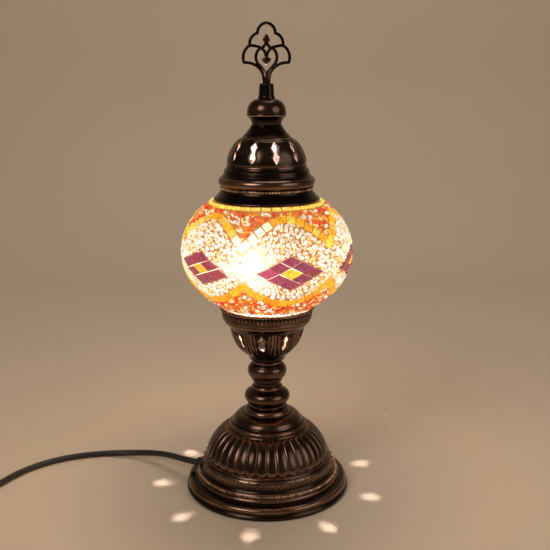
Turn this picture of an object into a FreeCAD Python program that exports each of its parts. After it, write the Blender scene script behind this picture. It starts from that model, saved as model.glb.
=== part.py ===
"""Mosaic glass table lamp: brass stand, lift-off glass globe, pierced cap, bulb and mains lead.

Millimetres, +Z up.  The origin is the middle of the base on the surface the lamp stands on,
-Y is the front and the lead leaves the base on the -X side.
"""
import FreeCAD, Part
import math
import os
import Sketcher
from FreeCAD import Placement, Rotation, Vector

# name, value, what it is; every level is a height above the table
DIMENSIONS = [
    ("base_radius", 64.8, "flange of the base"),
    ("base_level", 0.6, "lower edge of the base shell"),
    ("base_height", 66.8, "base shell, edge to neck"),
    ("felt_radius", 61.6, "felt pad under the base"),
    ("felt_thickness", 1.4, "felt pad under the base"),
    ("plate_radius", 62.0, "closing plate"),
    ("plate_thickness", 1.2, "closing plate"),
    ("weight_radius", 60.0, "cast iron ballast"),
    ("weight_height", 8.8, "cast iron ballast"),
    ("screw_circle", 38.0, "pitch radius of the ballast screws"),
    ("screw_radius", 2.0, "ballast screw shank"),
    ("screw_head", 3.8, "ballast screw head"),
    ("rod_radius", 5.0, "hollow threaded rod, M10"),
    ("rod_bore", 3.6, "hole along the threaded rod"),
    ("rod_level", 52.0, "lower end of the threaded rod"),
    ("rod_height", 66.0, "threaded rod"),
    ("clearance_bore", 5.3, "turned pieces over the rod"),
    ("neck_wall", 2.0, "roof of the base's neck"),
    ("nut_width", 14.0, "M10 nut across flats"),
    ("nut_height", 4.0, "M10 nut"),
    ("washer_radius", 12.0, "washer under the neck of the base"),
    ("washer_thickness", 1.4, "washer under the neck of the base"),
    ("lower_level", 67.4, "foot of the lower baluster"),
    ("lower_radius", 17.9, "belly of the lower baluster"),
    ("lower_height", 19.2, "lower baluster"),
    ("upper_level", 86.6, "foot of the upper baluster"),
    ("upper_radius", 15.4, "belly of the upper baluster"),
    ("upper_height", 18.4, "upper baluster"),
    ("cup_level", 105.0, "foot of the cup"),
    ("cup_radius", 36.9, "rim of the cup"),
    ("cup_height", 44.3, "cup"),
    ("cup_floor", 2.6, "floor of the cup"),
    ("cup_windows", 9, "windows round the cup"),
    ("cup_window_turn", -8.0, "first window of the cup, degrees from the front"),
    ("seat_level", 145.0, "rubber ring in the cup"),
    ("seat_radius", 34.3, "rubber ring in the cup"),
    ("seat_height", 4.1, "rubber ring in the cup"),
    ("holder_level", 112.0, "foot of the lampholder"),
    ("holder_radius", 13.8, "lampholder"),
    ("holder_base_height", 12.0, "lower dome of the lampholder"),
    ("holder_sleeve_height", 32.0, "sleeve of the lampholder"),
    ("insert_radius", 12.2, "ceramic insert of the lampholder"),
    ("insert_height", 8.8, "ceramic insert of the lampholder"),
    ("shell_radius", 7.9, "E14 screw shell, outside"),
    ("shell_bore", 7.15, "E14 screw shell, inside"),
    ("shell_height", 22.0, "E14 screw shell"),
    ("contact_radius", 3.4, "centre contact"),
    ("contact_height", 3.5, "centre contact"),
    ("terminal_radius", 1.6, "terminal screws of the lampholder"),
    ("terminal_height", 3.2, "terminal screws of the lampholder"),
    ("bulb_level", 133.0, "end contact of the bulb"),
    ("bulb_tip_height", 1.4, "end contact of the bulb"),
    ("bulb_collar_height", 2.2, "black glass round the end contact"),
    ("bulb_cap_radius", 6.9, "E14 bulb cap"),
    ("bulb_cap_height", 19.9, "E14 bulb cap"),
    ("bulb_radius", 22.5, "golf-ball bulb"),
    ("bulb_glass_height", 52.5, "glass of the bulb"),
    ("stem_sink", 1.5, "how deep the bulb's stem sits in its cap"),
    ("filament_radius", 0.9, "LED filaments"),
    ("filament_height", 26.0, "LED filaments"),
    ("filament_rise", 13.0, "LED filaments over the foot of the glass"),
    ("filament_ring", 4.1, "filaments from the axis"),
    ("globe_level", 192.4, "widest ring of the globe"),
    ("globe_radius", 65.3, "globe over its tiles"),
    ("globe_rise", 50.6, "globe over its tiles, middle to pole"),
    ("tile_thickness", 2.0, "glass tiles"),
    ("tile_bed", 0.4, "how deep a tile sits in the grout"),
    ("grout_thickness", 1.1, "grout on the glass"),
    ("glass_thickness", 2.2, "blown glass"),
    ("globe_foot_bore", 27.0, "lower opening of the glass"),
    ("globe_crown_bore", 30.0, "upper opening of the glass"),
    ("grout_low", 151.2, "lower edge of the grout"),
    ("grout_high", 231.3, "upper edge of the grout"),
    ("band_tile", 5.4, "side of a band tile"),
    ("tile_gap", 0.7, "grout between band tiles"),
    ("rim_tile_length", 6.6, "tiles under the cap"),
    ("rim_tile_height", 3.2, "tiles under the cap"),
    ("rim_tile_rise", 36.6, "tiles under the cap, over the widest ring"),
    ("lozenge_length", 50.0, "lozenge along the globe"),
    ("lozenge_height", 25.0, "lozenge up the globe"),
    ("cap_level", 231.0, "lower edge of the cap"),
    ("cap_radius", 39.9, "rim of the cap"),
    ("cap_height", 55.8, "cap"),
    ("cap_roof", 1.4, "roof of the cap"),
    ("cap_windows", 10, "windows round the cap"),
    ("cap_window_turn", 15.0, "first window of the cap, degrees from the front"),
    ("clip_level", 224.0, "lower end of the spring clips"),
    ("clip_radius", 29.6, "spring clips"),
    ("clip_height", 34.0, "spring clips"),
    ("clip_angle", 12.0, "width of a clip, degrees"),
    ("knob_level", 286.8, "foot of the knob"),
    ("knob_radius", 14.9, "knob"),
    ("knob_height", 18.0, "knob"),
    ("socket_level", 304.8, "foot of the finial socket"),
    ("socket_radius", 6.3, "finial socket"),
    ("socket_height", 11.2, "finial socket"),
    ("finial_level", 312.1, "lower end of the finial's tang"),
    ("finial_bar", 2.1, "width of the finial's bars"),
    ("finial_thickness", 2.4, "thickness of the finial"),
    ("stud_radius", 2.5, "finial stud, M5"),
    ("stud_level", 280.0, "lower end of the finial stud"),
    ("stud_height", 30.5, "finial stud"),
    ("stud_nut_width", 8.0, "M5 nut across flats"),
    ("stud_nut_height", 3.5, "M5 nut"),
    ("lead_radius", 2.5, "mains lead"),
    ("relief_radius", 4.4, "head of the strain relief"),
    ("relief_length", 20.0, "strain relief"),
    ("coil_x", -315.0, "middle of the put-away coil"),
    ("coil_y", 2.0, "middle of the put-away coil"),
    ("coil_inner", 17.5, "hole of the coil"),
    ("coil_outer", 37.5, "coil over its turns"),
    ("coil_level", 0.8, "underside of the coil"),
    ("coil_height", 10.0, "two layers of lead"),
    ("tie_width", 8.0, "tie round the coil"),
    ("tie_wall", 0.8, "tie round the coil"),
    ("switch_x", -291.0, "middle of the switch"),
    ("switch_y", -57.0, "middle of the switch"),
    ("switch_length", 58.0, "switch along the lead"),
    ("switch_width", 24.0, "switch across the lead"),
    ("switch_split", 7.0, "height where the switch halves meet"),
    ("switch_height", 16.0, "switch"),
    ("switch_wall", 1.6, "wall of the switch halves"),
    ("switch_corner", 7.0, "upright edges of the switch"),
    ("contact_length", 14.0, "contact strips of the switch"),
    ("contact_width", 5.0, "contact strips of the switch"),
    ("contact_thickness", 0.8, "contact strips of the switch"),
    ("contact_offset", 12.0, "contact strips from the middle of the switch"),
    ("case_screw_radius", 1.4, "screws of the switch"),
    ("case_screw_inset", 4.0, "screws of the switch from its ends and its top"),
    ("case_screw_offset", 6.5, "screws of the switch from its middle line"),
    ("case_screw_level", 0.6, "lower end of the switch's screws"),
    ("rocker_length", 18.0, "rocker along the switch"),
    ("rocker_width", 9.0, "rocker across the switch"),
    ("rocker_axis", 11.5, "height of the rocker's pin"),
    ("rocker_pin", 1.0, "radius of the rocker's pin"),
    ("rocker_tilt", 9.0, "tilt of the pressed rocker, degrees"),
    ("plug_x", -304.0, "lead end of the plug"),
    ("plug_y", 61.0, "middle of the plug"),
    ("plug_length", 36.0, "plug without its pins"),
    ("plug_width", 35.0, "plug across its face"),
    ("plug_height", 13.7, "plug"),
    ("plug_edge", 2.4, "rounding of the plug's edges"),
    ("pin_radius", 2.0, "plug pins"),
    ("pin_length", 19.0, "plug pins"),
    ("pin_pitch", 19.0, "between the plug pins"),
]

doc = FreeCAD.newDocument("MosaicTableLamp")
sheet = doc.addObject("Spreadsheet::Sheet", "Dims")
for row, (alias, value, note) in enumerate(DIMENSIONS, start=1):
    sheet.set(f"A{row}", note)
    sheet.set(f"B{row}", str(value))
    sheet.setAlias(f"B{row}", alias)
doc.recompute()

pieces = []


def size(alias):
    """The value of one cell of the sheet."""
    return float(getattr(sheet, alias))


def keep(piece, label):
    """Name a finished sub-part; its label names its file."""
    piece.Label = label
    pieces.append(piece)
    return piece


# ---------------------------------------------------------------- sketches and turned pieces

def through(x, y):
    """A point in the middle of an arc, between the outline points beside it."""
    return ("through", x, y)


def plane_of(body, role):
    return next(item for item in body.Origin.OriginFeatures if item.Role == role)


def outline_sketch(body, name, outline, across, up, role="XZ_Plane"):
    """A closed sketch of lines and arcs.  Every point is bound as its share of two sheet cells."""
    sketch = body.newObject("Sketcher::SketchObject", name)
    sketch.AttachmentSupport = [(plane_of(body, role), "")]
    sketch.MapMode = "FlatFace"
    corners = [point for point in outline if point[0] != "through"]
    edges, bends = [], []
    for index, point in enumerate(outline):
        if point[0] == "through":
            continue
        follower = outline[(index + 1) % len(outline)]
        start = Vector(point[0], point[1], 0)
        if follower[0] == "through":
            end = outline[(index + 2) % len(outline)]
            middle = Vector(follower[1], follower[2], 0)
            arc = Part.Arc(start, middle, Vector(end[0], end[1], 0))
            edges.append(arc)
            bends.append((len(edges) - 1, middle, start))
        else:
            edges.append(Part.LineSegment(start, Vector(follower[0], follower[1], 0)))
    sketch.addGeometry(edges, False)
    starts = []
    for edge_id, edge in enumerate(edges):
        corner = Vector(corners[edge_id][0], corners[edge_id][1], 0)
        starts.append(1 if sketch.getPoint(edge_id, 1).distanceToPoint(corner) < 1e-6 else 2)
    constraints, bound = [], []
    count = len(edges)
    for edge_id in range(count):
        before = (edge_id - 1) % count
        constraints.append(Sketcher.Constraint(
            "Coincident", before, 3 - starts[before], edge_id, starts[edge_id]))
    for edge_id, corner in enumerate(corners):
        for kind, value, cell in (("DistanceX", corner[0], across), ("DistanceY", corner[1], up)):
            if abs(value) > 1e-9:
                bound.append((len(constraints), value, cell))
            constraints.append(Sketcher.Constraint(kind, -1, 1, edge_id, starts[edge_id], value))
    for edge_id, middle, _ in bends:
        marker = sketch.addGeometry(Part.Point(middle), True)
        for kind, value, cell in (("DistanceX", middle.x, across), ("DistanceY", middle.y, up)):
            if abs(value) > 1e-9:
                bound.append((len(constraints), value, cell))
            constraints.append(Sketcher.Constraint(kind, -1, 1, marker, 1, value))
        constraints.append(Sketcher.Constraint("PointOnObject", marker, 1, edge_id))
    sketch.addConstraint(constraints)
    for index, value, cell in bound:
        sketch.setExpression(f"Constraints[{index}]", f"Dims.{cell} * {value / size(cell):.7f}")
    return sketch


def body_at(label, level=None, turn=None, x=None, y=None):
    """A body whose place is bound to the sheet."""
    body = doc.addObject("PartDesign::Body", label)
    if turn:
        body.Placement = Placement(Vector(), Rotation(Vector(0, 0, 1), size(turn)))
        body.setExpression("Placement.Rotation.Angle", f"Dims.{turn}")
    for axis, cell in (("x", x), ("y", y), ("z", level)):
        if cell:
            body.setExpression(f"Placement.Base.{axis}", f"Dims.{cell}")
    return body


def revolve(body, sketch, angle=None):
    turned_solid = body.newObject("PartDesign::Revolution", body.Name + "Turned")
    turned_solid.Profile = sketch
    turned_solid.ReferenceAxis = (sketch, ["V_Axis"])
    if angle:
        turned_solid.Midplane = True
        turned_solid.setExpression("Angle", f"Dims.{angle}")
    else:
        turned_solid.Angle = 360
    return turned_solid


def turned(label, outline, radius, height, level, turn=None):
    """A piece turned about its own Z axis; heights in the outline start at its foot."""
    body = body_at(label, level, turn)
    revolve(body, outline_sketch(body, label + "Outline", outline, radius, height))
    return keep(body, label)


def ring(label, inner, outer, height, level):
    """A plain washer or tube between two radii, all from the sheet."""
    body = body_at(label, level)
    sketch = body.newObject("Sketcher::SketchObject", label + "Ring")
    sketch.AttachmentSupport = [(plane_of(body, "XY_Plane"), "")]
    sketch.MapMode = "FlatFace"
    for cell in (outer, inner):
        if cell:
            index = sketch.addGeometry(Part.Circle(Vector(), Vector(0, 0, 1), size(cell)), False)
            sketch.addConstraint(Sketcher.Constraint("Coincident", index, 3, -1, 1))
            number = sketch.addConstraint(Sketcher.Constraint("Radius", index, size(cell)))
            sketch.setExpression(f"Constraints[{number}]", f"Dims.{cell}")
    pad = body.newObject("PartDesign::Pad", label + "Pad")
    pad.Profile = sketch
    pad.setExpression("Length", f"Dims.{height}")
    return keep(body, label)


def pierce(body, outline, across, up, reach, count):
    """Cut one window through the front wall and repeat it round the axis."""
    solid = body.Tip
    sketch = outline_sketch(body, body.Name + "Window", outline, across, up)
    pocket = body.newObject("PartDesign::Pocket", body.Name + "WindowCut")
    pocket.Profile = sketch
    pocket.Reversed = True
    pocket.setExpression("Length", f"Dims.{reach}")
    pattern = body.newObject("PartDesign::PolarPattern", body.Name + "WindowRing")
    pattern.Originals = [pocket]
    pattern.Axis = (sketch, ["V_Axis"])
    pattern.Angle = 360
    pattern.setExpression("Occurrences", f"Dims.{count}")
    body.Tip = pattern
    doc.recompute()
    assert pattern.Shape.Volume < solid.Shape.Volume - 1, body.Name


def screw_holes(body, hole, depth):
    """Three holes on the screw circle, up from the body's underside."""
    solid = body.Tip
    sketch = body.newObject("Sketcher::SketchObject", body.Name + "Holes")
    sketch.AttachmentSupport = [(plane_of(body, "XY_Plane"), "")]
    sketch.MapMode = "FlatFace"
    centre = Vector(0, size("screw_circle"), 0)
    index = sketch.addGeometry(Part.Circle(centre, Vector(0, 0, 1), size(hole)), False)
    sketch.addConstraint(Sketcher.Constraint("PointOnObject", index, 3, -2))
    for kind, cell in (("Radius", hole), ("DistanceY", "screw_circle")):
        arguments = (index,) if kind == "Radius" else (-1, 1, index, 3)
        number = sketch.addConstraint(Sketcher.Constraint(kind, *arguments, size(cell)))
        sketch.setExpression(f"Constraints[{number}]", f"Dims.{cell}")
    pocket = body.newObject("PartDesign::Pocket", body.Name + "HoleCut")
    pocket.Profile = sketch
    pocket.Reversed = True
    pocket.setExpression("Length", f"Dims.{depth}")
    pattern = body.newObject("PartDesign::PolarPattern", body.Name + "HoleRing")
    pattern.Originals = [pocket]
    pattern.Axis = (plane_of(body, "Z_Axis"), [""])
    pattern.Angle = 360
    pattern.Occurrences = 3
    body.Tip = pattern
    doc.recompute()
    assert pattern.Shape.Volume < solid.Shape.Volume - 1, body.Name


def cylinder(name, radius, height, x=0.0, y=0.0, z="0"):
    """A Part cylinder; radius, height and z are expressions on the sheet."""
    solid = doc.addObject("Part::Cylinder", name)
    solid.setExpression("Radius", radius)
    solid.setExpression("Height", height)
    for axis, place in (("x", x), ("y", y), ("z", z)):
        solid.setExpression(f"Placement.Base.{axis}", str(place))
    return solid


def cut(name, base, tool):
    result = doc.addObject("Part::Cut", name)
    result.Base, result.Tool = base, tool
    return result


def group(label, solids):
    """Identical separate solids that share one node."""
    compound = doc.addObject("Part::Compound", label)
    compound.Links = solids
    return keep(compound, label)


def hex_nut(label, width, bore, height, level):
    """A hexagon nut; level is an expression."""
    hexagon = doc.addObject("Part::Prism", label + "Hexagon")
    hexagon.Polygon = 6
    hexagon.setExpression("Circumradius", f"Dims.{width} * {1 / math.sqrt(3):.7f}")
    hexagon.setExpression("Height", f"Dims.{height}")
    hexagon.setExpression("Placement.Base.z", level)
    hole = cylinder(label + "Bore", f"Dims.{bore}", f"Dims.{height}", z=level)
    return keep(cut(label, hexagon, hole), label)


# ---------------------------------------------------------------- base

def build_base():
    turned("base_shell", [
        (64.6, 0), (64.8, 1.8), (63.7, 3.4), (63.5, 4.6), through(63.0, 7.1), (61.0, 8.3),
        (58.3, 8.8), (56.6, 10.0), through(56.1, 11.6), (54.8, 12.3), through(54.9, 14.1),
        (53.4, 15.6), (52.4, 17.0), (51.8, 19.8), through(51.6, 22.4), (50.0, 24.4),
        (49.2, 25.8), through(44.9, 37.8), (31.2, 50.3), (30.2, 50.6), through(30.3, 52.4),
        (28.6, 53.6), (27.6, 54.4), through(25.0, 58.6), (19.4, 61.2), (18.2, 61.8),
        through(17.6, 63.8), (15.4, 65.6), (14.2, 66.3), (14.2, 66.8), (5.3, 66.8), (5.3, 64.8),
        (13.2, 64.8), (17.0, 60.4), (23.6, 56.6), (27.0, 52.2), (30.2, 48.9), through(43.4, 37.0),
        (47.6, 25.4), (50.0, 19.4), (52.6, 12.8), (55.4, 9.0), (58.0, 7.6), (61.2, 6.8),
        (62.2, 4.4), (62.2, 0)], "base_radius", "base_height", "base_level")
    ring("felt_pad", None, "felt_radius", "felt_thickness", None)
    plate = ring("base_plate", None, "plate_radius", "plate_thickness", "felt_thickness")
    screw_holes(plate, "screw_head", "plate_thickness")
    weight = turned("base_weight", [
        (60.0, 0), (60.0, 4.2), (54.6, 6.0), (51.5, 8.8), (9.0, 8.8), (9.0, 0)],
        "weight_radius", "weight_height", None)
    weight.setExpression("Placement.Base.z", "Dims.felt_thickness + Dims.plate_thickness")
    screw_holes(weight, "screw_radius", "weight_height")
    build_ballast_screws()
    build_relief_hole()


def build_ballast_screws():
    screws = []
    for number in range(3):
        name = f"ballast_screw_{number + 1}_"
        head = cylinder(name + "head", "Dims.screw_head", "Dims.plate_thickness",
                        z="Dims.felt_thickness")
        shank = cylinder(name + "shank", "Dims.screw_radius",
                         "Dims.plate_thickness + Dims.weight_height - 1", z="Dims.felt_thickness")
        turn = math.radians(90 + 120 * number)
        for part in (head, shank):
            part.setExpression("Placement.Base.x", f"Dims.screw_circle * {math.cos(turn):.7f}")
            part.setExpression("Placement.Base.y", f"Dims.screw_circle * {math.sin(turn):.7f}")
        screw = doc.addObject("Part::Fuse", name + "whole")
        screw.Base, screw.Tool = head, shank
        screws.append(screw)
    group("ballast_screws", screws)


# where the lead leaves the base, and the level direction in which it goes
EXIT_TURN = 25.0
EXIT_POINT = Vector(-57.0, 3.0, 15.4)
EXIT_WAY = Vector(-math.cos(math.radians(EXIT_TURN)), math.sin(math.radians(EXIT_TURN)), 0)


def build_relief_hole():
    """The hole in the side of the base shell, cut across the strain relief's path."""
    shell = next(piece for piece in pieces if piece.Label == "base_shell")
    solid = shell.Tip
    hole = shell.newObject("PartDesign::SubtractiveCylinder", "ReliefHole")
    hole.Angle = 360
    hole.setExpression("Radius", "Dims.relief_radius - 0.8")
    hole.setExpression("Height", "Dims.relief_length")
    inner = EXIT_POINT - EXIT_WAY * size("relief_length") - Vector(0, 0, size("base_level"))
    hole.AttachmentSupport = []
    hole.Placement = Placement(inner, Rotation(Vector(0, 0, 1), EXIT_WAY))
    shell.Tip = hole
    doc.recompute()
    assert hole.Shape.Volume < solid.Shape.Volume - 1, "relief hole"


# ---------------------------------------------------------------- stem

def build_stem():
    ring("threaded_rod", "rod_bore", "rod_radius", "rod_height", "rod_level")
    washer = ring("rod_washer", "clearance_bore", "washer_radius", "washer_thickness", None)
    washer.setExpression("Placement.Base.z", "Dims.lower_level - Dims.neck_wall - Dims.washer_thickness")
    hex_nut("rod_nut", "nut_width", "rod_radius", "nut_height",
            "Dims.lower_level - Dims.neck_wall - Dims.washer_thickness - Dims.nut_height")
    turned("lower_baluster", [
        (5.3, 0), (14.0, 0), (14.0, 1.5), (15.0, 2.8), through(17.9, 7.7), (16.0, 11.8),
        (13.2, 13.4), (12.0, 14.2), through(12.2, 15.5), (11.0, 16.8), (10.6, 18.2),
        (10.6, 19.2), (5.3, 19.2)], "lower_radius", "lower_height", "lower_level")
    turned("upper_baluster", [
        (5.3, 0), (10.8, 0), (11.2, 1.2), (12.0, 2.0), (12.0, 2.8), (12.8, 3.6), (12.8, 4.4),
        (13.6, 5.0), through(15.4, 9.3), (14.3, 13.3), (12.6, 15.4), (11.4, 16.2),
        through(11.9, 17.3), (11.4, 18.4), (5.3, 18.4)],
        "upper_radius", "upper_height", "upper_level")


# ---------------------------------------------------------------- cup and lampholder

def build_cup():
    cup = turned("cup_shell", [
        (5.3, 0), (12.4, 0), (14.2, 1.8), (14.8, 3.6), (15.6, 4.9), through(20.3, 9.0),
        (24.0, 13.4), through(27.0, 19.6), (28.8, 26.4), (30.4, 29.4), (32.2, 31.4),
        through(33.6, 33.0), (33.5, 34.3), through(34.8, 35.6), (34.4, 36.8), (35.2, 41.2),
        (35.9, 42.3), through(36.9, 43.5), (36.2, 44.3), (34.7, 44.3), (34.7, 43.2),
        (33.0, 36.4), (31.0, 31.9), (29.0, 29.8), (27.4, 26.6), through(25.6, 20.0),
        (22.8, 14.4), through(18.8, 10.2), (14.2, 6.6), (12.0, 2.6), (5.3, 2.6)],
        "cup_radius", "cup_height", "cup_level", "cup_window_turn")
    pierce(cup, [
        (0, 26.6), (1.2, 24.4), (2.5, 22.6), (1.1, 19.6), (2.4, 16.4), (1.2, 14.2), (0, 12.4),
        (-1.2, 14.2), (-2.4, 16.4), (-1.1, 19.6), (-2.5, 22.6), (-1.2, 24.4)],
        "cup_radius", "cup_height", "cup_radius", "cup_windows")
    hex_nut("cup_nut", "nut_width", "rod_radius", "nut_height", "Dims.cup_level + Dims.cup_floor")
    turned("cup_seat_ring", [
        (26.2, 0), (33.9, 0), (34.3, 1.6), (34.3, 3.4), (30.4, 4.1), (26.2, 4.1)],
        "seat_radius", "seat_height", "seat_level")


# how far the cores of the cable spread to the terminals of the lampholder
WIRE_SPREAD = 8.0


def build_lampholder():
    turned("holder_base", [
        (5.0, 0), (8.6, 0), (13.8, 5.6), (13.8, 12.0), (12.3, 12.0), (12.3, 7.2), (9.4, 4.4),
        (5.0, 4.4)], "holder_radius", "holder_base_height", "holder_level")
    sleeve = turned("holder_sleeve", [
        (12.3, 0), (13.8, 0), (13.8, 30.4), (12.8, 32.0), (8.6, 32.0), (8.6, 9.0), (12.3, 9.0)],
        "holder_radius", "holder_sleeve_height", None)
    insert = turned("holder_insert", [
        (0, 0), (12.2, 0), (12.2, 8.8), (8.0, 8.8), (8.0, 5.5), (0, 5.5)],
        "insert_radius", "insert_height", None)
    for piece in (sleeve, insert):
        piece.setExpression("Placement.Base.z", "Dims.holder_level + Dims.holder_base_height")
    shell = ring("screw_shell", "shell_bore", "shell_radius", "shell_height", None)
    contact = turned("centre_contact", [
        (0, 0), (3.4, 0), (3.4, 0.6), (1.6, 2.0), (1.6, 3.5), (0, 3.5)],
        "contact_radius", "contact_height", None)
    for piece in (shell, contact):
        piece.setExpression("Placement.Base.z", "Dims.bulb_level - Dims.contact_height")
    terminals = [cylinder(
        f"terminal_{number + 1}", "Dims.terminal_radius", "Dims.terminal_height",
        x=WIRE_SPREAD * side,
        z="Dims.holder_level + Dims.holder_base_height - Dims.terminal_height")
        for number, side in enumerate((-1, 1))]
    group("terminal_screws", terminals)


# ---------------------------------------------------------------- bulb

def build_bulb():
    turned("bulb_tip", [(0, 0), (2.0, 0), (2.4, 0.5), (2.4, 1.4), (0, 1.4)],
           "bulb_cap_radius", "bulb_cap_height", "bulb_level")
    collar = turned("bulb_insulator", [(0, 0), (2.4, 0), (6.4, 2.2), (0, 2.2)],
                    "bulb_cap_radius", "bulb_cap_height", None)
    collar.setExpression("Placement.Base.z", "Dims.bulb_level + Dims.bulb_tip_height")
    cap = turned("bulb_cap", [(6.1, 0), (6.5, 0), (6.9, 0.8), (6.9, 19.9), (6.1, 19.9)],
                 "bulb_cap_radius", "bulb_cap_height", None)
    cap_foot = "Dims.bulb_level + Dims.bulb_tip_height + Dims.bulb_collar_height"
    glass_foot = cap_foot + " + Dims.bulb_cap_height"
    cap.setExpression("Placement.Base.z", cap_foot)
    glass = turned("bulb_glass", [
        (6.9, 0), (7.8, 2.0), through(10.6, 7.5), (14.5, 12.8), through(22.5, 30.0), (1.5, 52.4),
        (0, 52.4), (0, 51.6), (1.5, 51.6), through(21.7, 30.0), (14.0, 13.4), through(10.0, 8.0),
        (7.1, 2.3), (6.1, 0)],
        "bulb_radius", "bulb_glass_height", None)
    glass.setExpression("Placement.Base.z", glass_foot)
    stem = turned("bulb_stem", [
        (0, 0), (6.1, 0), (6.1, 1.5), (3.0, 3.0), (2.2, 12.0), (5.2, 13.0), (5.2, 14.5),
        (0, 14.5)], "bulb_cap_radius", "bulb_cap_height", None)
    stem.setExpression("Placement.Base.z", glass_foot + " - Dims.stem_sink")
    filaments = []
    for number in range(4):
        turn = math.radians(45 + 90 * number)
        filaments.append(cylinder(
            f"filament_{number + 1}", "Dims.filament_radius", "Dims.filament_height",
            x=f"Dims.filament_ring * {math.cos(turn):.7f}",
            y=f"Dims.filament_ring * {math.sin(turn):.7f}",
            z=glass_foot + " + Dims.filament_rise"))
    group("bulb_filaments", filaments)


# ---------------------------------------------------------------- globe

MIDDLE = size("globe_level")


def skin(depth):
    """Radius and rise of the globe's ellipse at a depth under the faces of the tiles."""
    return size("globe_radius") - depth, size("globe_rise") - depth


GROUT_DEPTH = size("tile_thickness") - size("tile_bed")
GLASS_DEPTH = GROUT_DEPTH + size("grout_thickness")
INNER_DEPTH = GLASS_DEPTH + size("glass_thickness")


def rise_at(depth, radius):
    """Height over the globe's middle where the ellipse at a depth has a radius."""
    wide, tall = skin(depth)
    return tall * math.sqrt(1 - (radius / wide) ** 2)


def meridian(depth, low, high, arcs=6):
    """Outline points of the ellipse between two heights over the middle, as arcs."""
    wide, tall = skin(depth)
    first, last = math.asin(low / tall), math.asin(high / tall)
    points = []
    for step in range(2 * arcs + 1):
        turn = first + (last - first) * step / (2 * arcs)
        place = (wide * math.cos(turn), tall * math.sin(turn))
        points.append(through(*place) if step % 2 else place)
    return points


def build_glass():
    foot, crown = size("globe_foot_bore"), size("globe_crown_bore")
    outer = meridian(GLASS_DEPTH, -rise_at(GLASS_DEPTH, foot), rise_at(GLASS_DEPTH, crown))
    inner = meridian(INNER_DEPTH, rise_at(INNER_DEPTH, crown), -rise_at(INNER_DEPTH, foot))
    turned("glass_globe", outer + inner, "globe_radius", "globe_rise", "globe_level")
    low, high = size("grout_low") - MIDDLE, size("grout_high") - MIDDLE
    outer = meridian(GROUT_DEPTH, low, high)
    inner = meridian(GLASS_DEPTH, high, low)
    turned("grout_layer", outer + inner, "globe_radius", "globe_rise", "globe_level")


# middles of the six lozenges round the globe, and how far each one leans; degrees
LOZENGES = [(-47, -7), (16, -1), (77.5, 4), (136, 0), (195, 3), (254, -3)]
LOZENGE_RISE = -4.4


def facet(turn, rise):
    """Place, outward normal and the two level-and-up tangents of the grout at an angle."""
    wide, tall = skin(GROUT_DEPTH)
    radius = wide * math.sqrt(1 - (rise / tall) ** 2)
    out = Vector(math.sin(turn), -math.cos(turn), 0)
    place = out * radius + Vector(0, 0, MIDDLE + rise)
    normal = (out * (radius / wide ** 2) + Vector(0, 0, rise / tall ** 2)).normalize()
    along = Vector(math.cos(turn), math.sin(turn), 0)
    return place, normal, along, normal.cross(along)


def tile(turn, rise, corners, lean=0.0):
    """One flat tile set in the grout: a prism over corners given along and up the globe."""
    place, normal, along, up = facet(turn, rise)
    foot = place - normal * size("tile_bed")
    spin = Rotation(normal, math.degrees(lean))
    points = [foot + spin.multVec(along * a + up * b) for a, b in corners]
    face = Part.Face(Part.makePolygon(points + points[:1]))
    return face.extrude(normal * size("tile_thickness"))


def rhombus(half_length, half_height):
    return [(half_length, 0), (0, half_height), (-half_length, 0), (0, -half_height)]


def rectangle(length, height):
    return [(length / 2, height / 2), (-length / 2, height / 2),
            (-length / 2, -height / 2), (length / 2, -height / 2)]


def lozenge_tiles():
    """Each lozenge is three by three rhombi; the middle one is of another colour."""
    border, middles = [], []
    length, height = size("lozenge_length") / 6, size("lozenge_height") / 6
    radius = skin(GROUT_DEPTH)[0]
    for centre, lean in LOZENGES:
        lean = math.radians(lean)
        for first in (-1, 0, 1):
            for second in (-1, 0, 1):
                a, b = (first + second) * length, (first - second) * height
                along = a * math.cos(lean) - b * math.sin(lean)
                up = a * math.sin(lean) + b * math.cos(lean)
                made = tile(math.radians(centre) + along / radius, LOZENGE_RISE + up,
                            rhombus(0.94 * length, 0.92 * height), lean)
                (middles if first == second == 0 else border).append(made)
    return border, middles


def band_rise(turn, cusp, swing):
    """Height over the middle of a scalloped band; its cusps lie between the lozenges."""
    degrees = math.degrees(turn)
    middles = [centre for centre, _ in LOZENGES] + [LOZENGES[0][0] + 360]
    cusps = [(LOZENGES[-1][0] - 360 + LOZENGES[0][0]) / 2]
    cusps += [(a + b) / 2 for a, b in zip(middles, middles[1:])]
    low = max(edge for edge in cusps if edge <= degrees)
    high = min(edge for edge in cusps if edge > degrees)
    return cusp + swing * math.sin(math.pi * (degrees - low) / (high - low)) ** 0.8


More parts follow.
